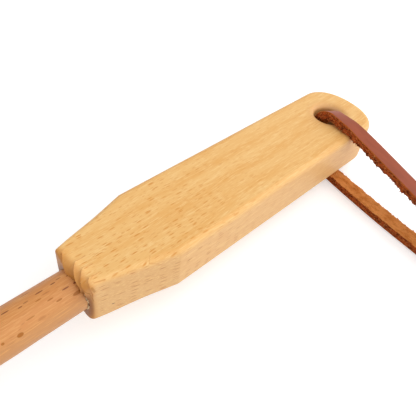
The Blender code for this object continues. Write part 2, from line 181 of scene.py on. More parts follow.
def square_to(vectors: Array, axes: Array) -> Array:
    """The part of vectors that is square to unit axes, v - (v . a) a, brought to length 1."""
    return unit(vectors - (vectors * axes).sum(-1, keepdims=True) * axes)


def walked(points: Array) -> Array:
    """Distance walked to each point of a path: the running sum of |p(i + 1) - p(i)|."""
    return np.concatenate([[0.0], np.cumsum(np.linalg.norm(np.diff(points, axis=0), axis=1))])


def link(name: str, data: bpy.types.ID) -> Object:
    """Makes an object of some data and puts it into the scene's collection."""
    made = bpy.data.objects.new(name, data)
    bpy.context.scene.collection.objects.link(made)
    return made


@dataclass
class Grid:
    """A sheet of points, row by row, that becomes quads.

    Attributes:
        points: array of shape (rows, columns, 3), in the row frame.
        slots: material slot of each column of quads.
        marks: named values for each point, kept as vertex attributes.
        uv: strap coordinates of each point, along and around, in metres.
    """

    points: Array
    slots: Array | None = None
    marks: dict[str, Array] = field(default_factory=dict)
    uv: Array | None = None

    def quads(self) -> Array:
        """Corners of each quad, counted row by row."""
        rows, columns = self.points.shape[:2]
        first = np.arange(rows - 1)[:, None] * columns + np.arange(columns - 1)[None, :]
        return np.stack([first, first + 1, first + columns + 1, first + columns], -1).reshape(-1, 4)

    def face_slots(self) -> Array:
        """Material slot of each quad."""
        rows, columns = self.points.shape[:2]
        per_column = np.zeros(columns - 1, int) if self.slots is None else self.slots
        return np.tile(per_column, rows - 1)


def shade(mesh: Mesh, sharp_degrees: float) -> Mesh:
    """Shades a mesh smooth but for the edges that turn more than the given angle."""
    mesh.shade_smooth()
    mesh.set_sharp_from_angle(angle=math.radians(sharp_degrees))
    return mesh


def build_mesh(name: str, grids: Sequence[Grid], sharp_degrees: float = SHARP_DEGREES) -> Mesh:
    """Joins sheets of points into one mesh and merges their seams and poles.

    Args:
        name: the mesh's name.
        grids: the sheets; a closed one repeats its first row or column at its end.
        sharp_degrees: edges that turn more than this are shaded sharp.

    Returns:
        A mesh whose faces point outwards.
    """
    counts = np.cumsum([0] + [grid.points[..., 0].size for grid in grids])
    points = np.concatenate([grid.points.reshape(-1, 3) for grid in grids])
    quads = np.concatenate([grid.quads() + first for grid, first in zip(grids, counts)])
    slots = np.concatenate([grid.face_slots() for grid in grids])
    mesh = bpy.data.meshes.new(name)
    mesh.from_pydata(points.tolist(), [], quads.tolist())
    mesh.polygons.foreach_set("material_index", slots)
    for mark in sorted({mark for grid in grids for mark in grid.marks}):
        values = [grid.marks.get(mark, np.zeros(grid.points.shape[:2])) for grid in grids]
        flat = np.concatenate([value.ravel() for value in values]).astype(np.float32)
        mesh.attributes.new(mark, "FLOAT", "POINT").data.foreach_set("value", flat)
    if all(grid.uv is not None for grid in grids):
        corners = np.concatenate([grid.uv.reshape(-1, 2) for grid in grids])[quads.ravel()]
        strap_map = mesh.uv_layers.new(name="strap")
        strap_map.data.foreach_set("uv", corners.ravel().astype(np.float32))
    bm = bmesh.new()
    bm.from_mesh(mesh)
    bmesh.ops.remove_doubles(bm, verts=bm.verts, dist=MERGE_DISTANCE)
    bmesh.ops.recalc_face_normals(bm, faces=bm.faces)
    bm.to_mesh(mesh)
    bm.free()
    return shade(mesh, sharp_degrees)


def cut(mesh: Mesh, cutter: Mesh) -> Mesh:
    """Cuts one closed mesh out of another.

    Args:
        mesh: what is cut; it is removed.
        cutter: one or more closed bodies that don't touch; it is removed.

    Returns:
        The cut mesh, under the first one's name.
    """
    name = mesh.name
    mesh.name = f"{name}_uncut"
    body, tool = (link(data.name, data) for data in (mesh, cutter))
    boolean = body.modifiers.new("cut", "BOOLEAN")
    boolean.operation = "DIFFERENCE"
    boolean.solver = "EXACT"
    boolean.object = tool
    graph = bpy.context.evaluated_depsgraph_get()
    made = bpy.data.meshes.new_from_object(body.evaluated_get(graph))
    for obj, data in ((body, mesh), (tool, cutter)):
        bpy.data.objects.remove(obj)
        bpy.data.meshes.remove(data)
    made.name = name
    return shade(made, SHARP_DEGREES)


def turned(start: Array, end: Array, profile: Sequence[Pair], steps: int) -> Grid:
    """A shape turned about the line between two points.

    Each ring lies at its distance along the line and has the profile's radius.

    Args:
        start, end: ends of the axis.
        profile: (distance from start, radius) of each ring; a radius of 0 closes an end.
        steps: points round each ring.

    Returns:
        One row for each ring, with the first column repeated at the end.
    """
    axis = unit(end - start)
    steep = abs(axis[1]) >= 0.9
    side = unit(np.cross(axis, (1.0, 0.0, 0.0) if steep else (0.0, 1.0, 0.0)))
    other = np.cross(axis, side)
    angles = np.linspace(0.0, math.tau, steps + 1)
    ring = np.cos(angles)[:, None] * side + np.sin(angles)[:, None] * other
    along, radius = np.array(profile).T
    return Grid(start + along[:, None, None] * axis + radius[:, None, None] * ring)


def cylinder(start: Array, end: Array, radius: float, steps: int) -> Grid:
    """A closed cylinder about the line between two points, with flat ends."""
    length = float(np.linalg.norm(end - start))
    profile = [(0.0, 0.0), (0.0, radius), (length, radius), (length, 0.0)]
    return turned(start, end, profile, steps)


class Nodes:
    """Adds shader nodes to a tree."""

    # Vector Math operations whose result is a number
    MEASURES = ("LENGTH", "DISTANCE", "DOT_PRODUCT")

    def __init__(self, tree: bpy.types.NodeTree) -> None:
        """Takes the tree that the nodes go into."""
        self.tree = tree

    def node(self, kind: str, inputs: dict | None = None, **settings) -> bpy.types.Node:
        """Adds a node.

        Args:
            kind: node type without its ShaderNode prefix.
            inputs: values or sockets by the input's name or number.
            settings: the node's own properties.

        Returns:
            The node.
        """
        made = self.tree.nodes.new(f"ShaderNode{kind}")
        for name, value in settings.items():
            setattr(made, name, value)
        for key, value in (inputs or {}).items():
            if isinstance(value, Socket):
                self.tree.links.new(value, made.inputs[key])
            else:
                made.inputs[key].default_value = value
        return made

    def math(self, operation: str, *values: Value, clamp: bool = False) -> Socket:
        """A Math node's output for one, two or three values or sockets."""
        inputs = dict(enumerate(values))
        return self.node("Math", inputs, operation=operation, use_clamp=clamp).outputs[0]

    def times(self, first: Value, *others: Value) -> Socket:
        """The product of values or sockets, taken in their order."""
        for other in others:
            first = self.math("MULTIPLY", first, other)
        return first

    def rest(self, share: Socket) -> Socket:
        """What a share leaves: 1 - share."""
        return self.math("SUBTRACT", 1.0, share)

    def vector(self, operation: str, *values: Socket | Sequence[float]) -> Socket:
        """A Vector Math node's output, which is a number for a length, distance or dot product."""
        made = self.node("VectorMath", dict(enumerate(values)), operation=operation)
        return made.outputs["Value" if operation in self.MEASURES else "Vector"]

    def part(self, vector: Socket, axis: str) -> Socket:
        """A vector's part along X, Y or Z."""
        return self.node("SeparateXYZ", {0: vector}).outputs[axis]

    def ramp(
        self,
        value: Value,
        start: float,
        end: float,
        low: float = 0.0,
        high: float = 1.0,
        curve: str = "LINEAR",
    ) -> Socket:
        """Goes from low at start to high at end and is level beyond both.

        Args:
            value: where the ramp is read.
            start, end: values that give low and high.
            low, high: the two levels.
            curve: the interpolation.

        Returns:
            The level at the value.
        """
        inputs = {"Value": value, "From Min": start, "From Max": end, "To Min": low, "To Max": high}
        return self.node("MapRange", inputs, interpolation_type=curve).outputs["Result"]

    def step(self, value: Value, start: float, end: float, *levels: float) -> Socket:
        """A smooth step from 0 at start to 1 at end, or between the two levels given."""
        return self.ramp(value, start, end, *levels, curve="SMOOTHSTEP")


class Paint(Nodes):
    """Builds the nodes of one material."""

    # Reach of the smallest fleck, as a share of the largest one's
    SMALLEST_FLECK = 0.35
    # Distances, in widths of a line, between which its edge fades
    LINE_EDGE = (0.75, 0.25)
    # Width of a spot's soft edge, in radii
    SPOT_EDGE = 0.35

    def __init__(
        self, name: str, roughness: float, specular: float = 0.5, metallic: float = 0.0
    ) -> None:
        """Starts a Principled material with the values that are the same all over it."""
        self.material = bpy.data.materials.new(name)
        self.material.use_nodes = True
        super().__init__(self.material.node_tree)
        self.shader = self.tree.nodes["Principled BSDF"]
        self.shader.inputs["Roughness"].default_value = roughness
        self.shader.inputs["Specular IOR Level"].default_value = specular
        self.shader.inputs["Metallic"].default_value = metallic

    def mix(self, share: Value, first: Socket | Colour, second: Socket | Colour) -> Socket:
        """A colour between two colours or sockets."""
        inputs: dict = {0: share}
        for number, colour in ((6, first), (7, second)):
            inputs[number] = (*colour, 1.0) if isinstance(colour, tuple) else colour
        return self.node("Mix", inputs, data_type="RGBA").outputs[2]

    def own_coordinates(self, place: BrushFrame | None = None) -> Socket:
        """Object coordinates, carried into the brush's own frame where one is given."""
        coords = self.node("TexCoord").outputs["Object"]
        if place is None:
            return coords
        turn = (0.0, place.tilt, 0.0)
        inputs = {"Vector": coords, "Location": place.origin, "Rotation": turn}
        return self.node("Mapping", inputs, vector_type="TEXTURE").outputs[0]

    def strap_coordinates(self) -> Socket:
        """The lace's own map: metres along it and round it."""
        return self.node("UVMap", uv_map="strap").outputs[0]

    def scaled(self, coords: Socket, sizes: Sequence[float]) -> Socket:
        """Coordinates counted in cells of the given sizes."""
        inputs = {"Vector": coords, "Scale": tuple(1.0 / size for size in sizes)}
        return self.node("Mapping", inputs, vector_type="POINT").outputs[0]

    def noise(
        self, coords: Socket, sizes: Triple, detail: float = 3.0, roughness: float = 0.5
    ) -> Socket:
        """Noise whose bumps are about as long as the given sizes."""
        cells = self.scaled(coords, sizes)
        inputs = {"Vector": cells, "Scale": 1.0, "Detail": detail, "Roughness": roughness}
        return self.node("TexNoise", inputs).outputs["Fac"]

    def flecks(
        self, coords: Socket, sizes: Pair, share: float, reach: float, soft: float
    ) -> Socket:
        """Scattered long flecks over x and y, one at most in each cell.

        A cell's random value decides whether it has a fleck and how far that reaches from its
        middle.

        Args:
            coords: place on the piece.
            sizes: lengths of a cell along x and y.
            share: share of the cells that have one.
            reach: reach of the largest, in cells.
            soft: width of a fleck's soft edge, in cells.

        Returns:
            1 on a fleck and 0 off it.
        """
        inputs = {"Vector": self.scaled(coords, (*sizes, 1.0)), "Scale": 1.0, "Randomness": 1.0}
        cells = self.node("TexVoronoi", inputs, feature="F1", voronoi_dimensions="2D")
        chance = self.node("SeparateColor", {0: cells.outputs["Color"]}).outputs[0]
        size = self.ramp(chance, 1.0 - share, 1.0, self.SMALLEST_FLECK * reach, reach)
        present = self.math("GREATER_THAN", chance, 1.0 - share)
        inside = self.math("SUBTRACT", size, cells.outputs["Distance"])
        return self.times(self.step(inside, 0.0, soft), present)

    def spot(self, coords: Socket, centre: Triple, radii: Triple) -> Socket:
        """An oval mark on the surface: 1 inside and 0 outside."""
        inputs = {"Vector": coords, "Location": centre, "Scale": radii}
        scaled = self.node("Mapping", inputs, vector_type="TEXTURE").outputs[0]
        away = self.vector("LENGTH", scaled)
        return self.step(away, 1.0 + self.SPOT_EDGE / 2, 1.0 - self.SPOT_EDGE / 2)

    def stroke(
        self, coords: Socket, start: Triple, end: Triple, width: float, weights: Triple
    ) -> Socket:
        """A line drawn on the surface: 1 on it and 0 off it.

        The nearest point of the line lies at dot(place - start, end - start) / length squared of
        its way, held between 0 and 1.

        Args:
            coords: place on the piece.
            start, end: ends of the line.
            width: of the line.
            weights: how much a distance along x, y and z counts.

        Returns:
            The line's share of the colour.
        """
        weigh = np.array(weights)
        first, way = np.array(start) * weigh, (np.array(end) - np.array(start)) * weigh
        place = self.vector("MULTIPLY", coords, tuple(weigh))
        offset = self.vector("SUBTRACT", place, tuple(first))
        share = self.vector("DOT_PRODUCT", offset, tuple(way / (way @ way)))
        share = self.math("MULTIPLY", share, 1.0, clamp=True)
        nearest = self.node("VectorMath", {0: tuple(way), "Scale": share}, operation="SCALE")
        away = self.vector("DISTANCE", offset, nearest.outputs[0])
        return self.step(away, *(edge * width for edge in self.LINE_EDGE))

    def bump(self, height: Socket, depth: float, strength: float) -> None:
        """Lets a height of 0 to 1 shade the surface as relief of the given depth."""
        inputs = {"Height": height, "Distance": depth, "Strength": strength}
        normal = self.node("Bump", inputs).outputs[0]
        self.tree.links.new(normal, self.shader.inputs["Normal"])

    def colour(self, socket: Socket) -> None:
        """Uses a socket as the base colour."""
        self.tree.links.new(socket, self.shader.inputs["Base Color"])


@dataclass(frozen=True)
class Mark:
    """A dark pin knot, dash or fleck at one place.

    Attributes:
        centre: its place in the brush's frame.
        radii: its half lengths along x, y and z.
        colour: its colour.
        share: how far it covers the wood.
    """

    centre: Triple
    radii: Triple
    colour: Colour
    share: float = 0.9


@dataclass(frozen=True)
class ShadeLine:
    """A thin line of painted shade, such as in a groove or crease left by carving.

    Attributes:
        start, end: its ends, in the brush's frame.
        width: of the line.
        weights: how much a distance along x, y and z counts.
        colour: its colour.
        share: how far it covers the wood.
    """

    start: Triple
    end: Triple
    width: float
    weights: Triple
    colour: Colour
    share: float = 0.8


@dataclass(frozen=True)
class ShadeZone:
    """A soft zone of painted shade round an upright or a lengthwise axis, such as a hole's rim.

    Attributes:
        centre: a place on the axis, in the brush's frame.
        weights: how much a distance along x, y and z counts.
        inner, outer: distances within which it is full and from which there is none.
        colour: its colour.
        share: how far it covers the wood.
    """

    centre: Triple
    weights: Triple
    inner: float
    outer: float
    colour: Colour
    share: float

    def share_at(self, paint: Paint, coords: Socket) -> Socket:
        """1 within the inner distance, 0 beyond the outer one."""
        offset = paint.vector("SUBTRACT", coords, self.centre)
        away = paint.vector("LENGTH", paint.vector("MULTIPLY", offset, self.weights))
        return paint.step(away, self.outer, self.inner)


# Lengths of beech's patterns along the plank, across it and through it
GRAIN_BEND = (0.028, 0.009, 0.009)
GRAIN_BAND = (0.060, 0.0042, 0.0042)
GRAIN_STREAK = (0.0060, 0.00042, 0.00042)
GRAIN_FINE = (0.0022, 0.00020, 0.00020)
FLECK_PATCH = (0.012, 0.005, 0.005)
# How far the grain bends to the side, and how deep its streaks are
BEND_SWAY = 0.0022
GRAIN_DEPTH = 0.00005
# Cells of the flecks on faces, the small ones among them, and those on the plank's edges
FACE_FLECK = (0.0048, 0.00095)
SMALL_FLECK = (0.0030, 0.00060)
EDGE_FLECK = (0.0050, 0.00062)
# Places from the front end between which the flecks fade and the end grain changes its colour,
# from the front's, which holds painted shade, to the round end's
FLECK_FADE = (0.018, 0.100)
END_CHANGE = (0.020, 0.060)


@dataclass(frozen=True)
class BeechFinish:
    """Oiled beech: streaked ground, ray flecks along the grain, darker end grain and painted shade.

    Attributes:
        name: the material's name.
        light, dark: the palest wood, and that of the darker bands.
        pale: colour of the thin pale streaks.
        side: colour of the plank's edges.
        fleck, side_fleck: flecks on faces and finer ones on edges; fleck also paints far-side
            shade.
        end, front_end: colours of end grain at the round end, and at the front with painted shade.
        fleck_strength: how far flecks cover the ground.
        fleck_share: share of the cells that hold one.
        fades_to: share of their strength left at the round end.
        shade_zones: soft zones of painted shade.
        marks: single flecks.
        shade_lines: painted shade in grooves and creases.
    """

    name: str
    light: Colour
    dark: Colour
    pale: Colour
    side: Colour
    fleck: Colour
    side_fleck: Colour
    end: Colour
    front_end: Colour
    fleck_strength: float
    fleck_share: float = 0.70
    fades_to: float = 1.0
    shade_zones: tuple[ShadeZone, ...] = ()
    marks: tuple[Mark, ...] = ()
    shade_lines: tuple[ShadeLine, ...] = ()

    def material(self, place: BrushFrame) -> Material:
        """Makes the wood.

        The ground mixes light and dark by noise drawn out along x, with thin pale streaks over
        it. The plank's edges are a little pinker than its faces, and painted shade darkens its far
        side.

        Args:
            place: where the brush lies.

        Returns:
            The material.
        """
        paint = Paint(self.name, roughness=0.46, specular=0.40)
        coords = paint.own_coordinates(place)
        facing = paint.node("TexCoord").outputs["Normal"]
        upward = paint.step(paint.math("ABSOLUTE", paint.part(facing, "Z")), 0.35, 0.80)
        endward = paint.step(paint.math("ABSOLUTE", paint.part(facing, "X")), 0.42, 0.72)
        sway = paint.times(paint.noise(coords, GRAIN_BEND, detail=1.0), BEND_SWAY)
        bent = paint.vector("ADD", coords, paint.node("CombineXYZ", {1: sway}).outputs[0])
        bands = paint.noise(bent, GRAIN_BAND, detail=3.0)
        streaks = paint.noise(bent, GRAIN_STREAK, detail=2.0, roughness=0.65)
        fine = paint.noise(bent, GRAIN_FINE, detail=2.0, roughness=0.6)
        # Painted shade: faces turned to the far side, away from the lamps, go towards the fleck
        # colour
        far_side_shade = paint.step(paint.part(facing, "Y"), 0.15, 0.75, 0.0, 0.30)
        ground = paint.mix(paint.step(bands, 0.34, 0.68), self.light, self.dark)
        ground = paint.mix(paint.times(paint.rest(upward), 0.75), ground, self.side)
        ground = paint.mix(far_side_shade, ground, self.fleck)
        ground = paint.mix(paint.step(streaks, 0.46, 0.72, 0.0, 0.85), ground, self.pale)
        ground = paint.mix(paint.step(fine, 0.52, 0.80, 0.0, 0.35), ground, self.dark)
        paint.bump(paint.math("ADD", streaks, fine), GRAIN_DEPTH, 0.30)
        colour = self._flecked(paint, coords, bent, ground, upward, endward)
        along = paint.part(coords, "X")
        # The front's end grain colour holds painted shade, as the front faces away from the lamps
        end = paint.mix(paint.step(along, *END_CHANGE), self.front_end, self.end)
        colour = paint.mix(paint.times(endward, 0.85), colour, end)
        paint.colour(self._marked(paint, coords, colour))
        return paint.material

    def _flecked(
        self, paint: Paint, coords: Socket, bent: Socket, ground: Socket, upward: Socket,
        endward: Socket,
    ) -> Socket:
        """Adds the ray flecks: cells stretched along the grain, flat on faces and finer on edges.

        Patches of low noise hold fewer of them, and end grain, where endward is 1, holds none.
        Faces are where upward is 1.
        """
        parts = paint.node("SeparateXYZ", {0: bent}).outputs
        flat = paint.node("CombineXYZ", {0: parts["X"], 1: parts["Z"]}).outputs[0]
        broad = paint.flecks(bent, FACE_FLECK, self.fleck_share, reach=0.42, soft=0.22)
        small = paint.flecks(bent, SMALL_FLECK, self.fleck_share, reach=0.38, soft=0.20)
        narrow = paint.flecks(flat, EDGE_FLECK, self.fleck_share, reach=0.40, soft=0.22)
        patches = paint.step(paint.noise(coords, FLECK_PATCH, detail=2.0), 0.32, 0.58, 0.45, 1.0)
        kept = paint.step(paint.part(coords, "X"), *FLECK_FADE, 1.0, self.fades_to)
        strength = paint.times(kept, self.fleck_strength, patches, paint.rest(endward))
        both = paint.math("MAXIMUM", broad, paint.times(small, 0.6))
        edges = paint.times(narrow, paint.rest(upward), strength)
        colour = paint.mix(edges, ground, self.side_fleck)
        return paint.mix(paint.times(both, upward, strength), colour, self.fleck)

    def _marked(self, paint: Paint, coords: Socket, colour: Socket) -> Socket:
        """Lays the painted shade zones, the marks and the painted shade lines over the wood's
        colour, in that order.
        """
        layers = [(item, item.share_at(paint, coords)) for item in self.shade_zones]
        layers += [(item, paint.spot(coords, item.centre, item.radii)) for item in self.marks]
        for item in self.shade_lines:
            stroke = paint.stroke(coords, item.start, item.end, item.width, item.weights)
            layers.append((item, stroke))
        for item, share in layers:
            colour = paint.mix(paint.times(share, item.share), colour, item.colour)
        return colour


@dataclass(frozen=True)
class LeatherFinish:
    """Vegetable-tanned leather: smooth coloured grain, tan flesh side and dark fuzzy cut edges.

    Its colours are those of the three sides, of dark blotches and light fibres on the cut edges,
    of the thin line under the grain and of the flesh side's patches.
    """

    grain: Colour
    cut: Colour
    cut_dark: Colour
    cut_light: Colour
    arris: Colour
    flesh: Colour
    flesh_dark: Colour

    def materials(self, arrises: Pair) -> list[Material]:
        """Makes the three sides' materials, in the order of Strap.

        Args:
            arrises: places round the strap where the grain ends.

        Returns:
            Grain, cut and flesh.
        """
        return [self._grain(), self._cut(arrises), self._flesh()]

    def _grain(self) -> Material:
        """Smooth grain: faint clouds, fine pores and a low sheen."""
        paint = Paint("leather_grain", roughness=0.42, specular=0.24)
        coords = paint.strap_coordinates()
        clouds = paint.noise(coords, (0.012, 0.004, 0.004), detail=3.0)
        pores = paint.noise(coords, (0.00035, 0.00030, 0.0003), detail=2.0)
        cloud, pore = (tuple(share * value for value in self.grain) for share in (0.86, 0.72))
        colour = paint.mix(paint.step(clouds, 0.35, 0.70), self.grain, cloud)
        paint.colour(paint.mix(paint.step(pores, 0.60, 0.78, 0.0, 0.45), colour, pore))
        paint.bump(pores, 0.00003, 0.25)
        return paint.material

    def _cut(self, arrises: Pair) -> Material:
        """Cut edge: dark blotches, lighter fibres drawn along it, and a line at each arris."""
        paint = Paint("leather_cut", roughness=0.95, specular=0.0)
        coords = paint.strap_coordinates()
        blotches = paint.noise(coords, (0.0026, 0.0013, 0.0013), detail=4.0, roughness=0.70)
        fibres = paint.noise(coords, (0.0011, 0.00030, 0.0003), detail=4.0, roughness=0.7)
        around = paint.part(coords, "Y")
        colour = paint.mix(paint.step(blotches, 0.43, 0.54), self.cut_dark, self.cut)
        colour = paint.mix(paint.step(fibres, 0.51, 0.62, 0.0, 0.9), colour, self.cut_light)
        offsets = [paint.math("SUBTRACT", around, arris) for arris in arrises]
        near = [paint.step(paint.math("ABSOLUTE", away), 0.00045, 0.00020) for away in offsets]
        line = paint.math("MAXIMUM", *near)
        paint.colour(paint.mix(paint.times(line, 0.85), colour, self.arris))
        paint.bump(paint.math("ADD", fibres, blotches), 0.0004, 0.9)
        return paint.material

    def _flesh(self) -> Material:
        """Flesh side: rough tan with darker patches and a short nap."""
        paint = Paint("leather_flesh", roughness=0.95, specular=0.0)
        coords = paint.strap_coordinates()
        patches = paint.noise(coords, (0.0050, 0.0022, 0.002), detail=4.0, roughness=0.65)
        nap = paint.noise(coords, (0.0013, 0.00055, 0.0004), detail=4.0, roughness=0.75)
        patch = paint.step(patches, 0.40, 0.68, 0.0, 0.8)
        darker = tuple(0.55 * value for value in self.flesh_dark)
        colour = paint.mix(patch, self.flesh, self.flesh_dark)
        paint.colour(paint.mix(paint.step(nap, 0.52, 0.66, 0.0, 0.6), colour, darker))
        paint.bump(nap, 0.0003, 0.8)
        return paint.material


@dataclass(frozen=True)
class FibreFinish:
    """Stiff plant fibre, each strand of its own tint between pale and brown."""

    pale: Colour
    brown: Colour

    def material(self) -> Material:
        """Makes the fibre from the strands' tint attribute and noise along them."""
        paint = Paint("plant_fibre", roughness=0.62, specular=0.30)
        tint = paint.node("Attribute", attribute_name="tint").outputs["Fac"]
        mottle = paint.noise(paint.own_coordinates(), (0.0008, 0.0008, 0.004), detail=3.0)
        lowered = paint.math("SUBTRACT", tint, 0.25)
        share = paint.math("ADD", paint.times(mottle, 0.5), lowered, clamp=True)
        paint.colour(paint.mix(share, self.pale, self.brown))
        paint.bump(mottle, 0.00008, 0.5)
        return paint.material


@dataclass(frozen=True)
class BrassFinish:
    """Drawn brass, bright under a dull tarnish."""

    bright: Colour
    dull: Colour

    def material(self) -> Material:
        """Makes the brass: bright metal under uneven tarnish."""
        paint = Paint("brass", roughness=0.34, metallic=1.0)
        coords = paint.own_coordinates()
        tarnish = paint.noise(coords, (0.0012,) * 3, detail=4.0)
        paint.colour(paint.mix(paint.step(tarnish, 0.40, 0.65), self.bright, self.dull))
        paint.bump(paint.noise(coords, (0.0002,) * 3), 0.00002, 0.4)
        return paint.material


@dataclass(frozen=True)
class GlueFinish:
    """Dried wood glue: a pale olive bead with dark dust in it."""

    pale: Colour
    dark: Colour

    def material(self) -> Material:
        """Makes the glue from small clouds of two colours."""
        paint = Paint("dried_glue", roughness=0.60, specular=0.35)
        coords = paint.own_coordinates()
        crumbs = paint.noise(coords, (0.0010,) * 3, detail=4.0, roughness=0.7)
        paint.colour(paint.mix(paint.step(crumbs, 0.42, 0.56), self.dark, self.pale))
        paint.bump(crumbs, 0.0003, 0.8)
        return paint.material


def add_piece(
    mesh: Mesh, materials: list[Material], body: Body, replaces: Sequence[str] = ()
) -> Object:
    """Puts a finished mesh into the scene.

    Args:
        mesh: the piece's mesh, in the row frame, whose name it takes.
        materials: its material slots.
        body: what it rides on.
        replaces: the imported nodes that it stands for.

    Returns:
        The piece.
    """
    if mesh.materials:
        mesh.materials.clear()
    for material in materials:
        mesh.materials.append(material)
    piece = link(mesh.name, mesh)
    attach(piece, body.value)
    if replaces:
        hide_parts(*replaces)
    log.info("%s: %d faces on %s", piece.name, len(mesh.polygons), body.value)
    return piece


def fillet(corner: Array, before: float, after: float, radius: float, steps: int) -> Array:
    """Arc that rounds a corner of a plan which is walked with its inside on the left.

    The arc's centre lies one radius inside both sides. Its points follow the outward normal as
    that turns from the first side's to the second's.

    Args:
        corner: where the two sides would meet.
        before, after: directions of the sides that come in and go out, in radians.
        radius: of the arc.
        steps: points.

    Returns:
        The arc's points, of shape (steps, 2).
    """
    reach = radius * math.tan((after - before) / 2.0)
    start = corner - reach * np.array([math.cos(before), math.sin(before)])
    centre = start + radius * np.array([-math.sin(before), math.cos(before)])
    angles = np.linspace(before, after, steps) - math.pi / 2.0
    return centre + radius * np.stack([np.cos(angles), np.sin(angles)], -1)


@dataclass
class Skin:
    """A plank's surface with coordinates for carving it.

    Attributes:
        points: array of shape (rows, columns, 3) in the plank's frame, the seams repeated.
        down: path from the front face's upper end over the rim, negative down the face.
        around: path along the outline from the middle of the neck, positive on the far side.
    """

    points: Array
    down: Array
    around: Array


# Points along a plank's plan, from the middle of its neck to its tip
FRONT_POINTS = 46
CORNER_POINTS = 14
TAPER_POINTS = 60
BEND_POINTS = 7
SIDE_POINTS = 42
END_POINTS = 44
# Power by which the taper's points crowd towards the neck
TAPER_CROWDING = 1.4
# Rings down an eye, over a rounded rim and across a face, and the power by which the last crowd
# towards the rim
EYE_RINGS = 6
RIM_RINGS = 13
FACE_RINGS = 30
FACE_CROWDING = 3
# Room without other points on both sides of a crease's two columns, in gaps between those
CREASE_ROOM = 1.2


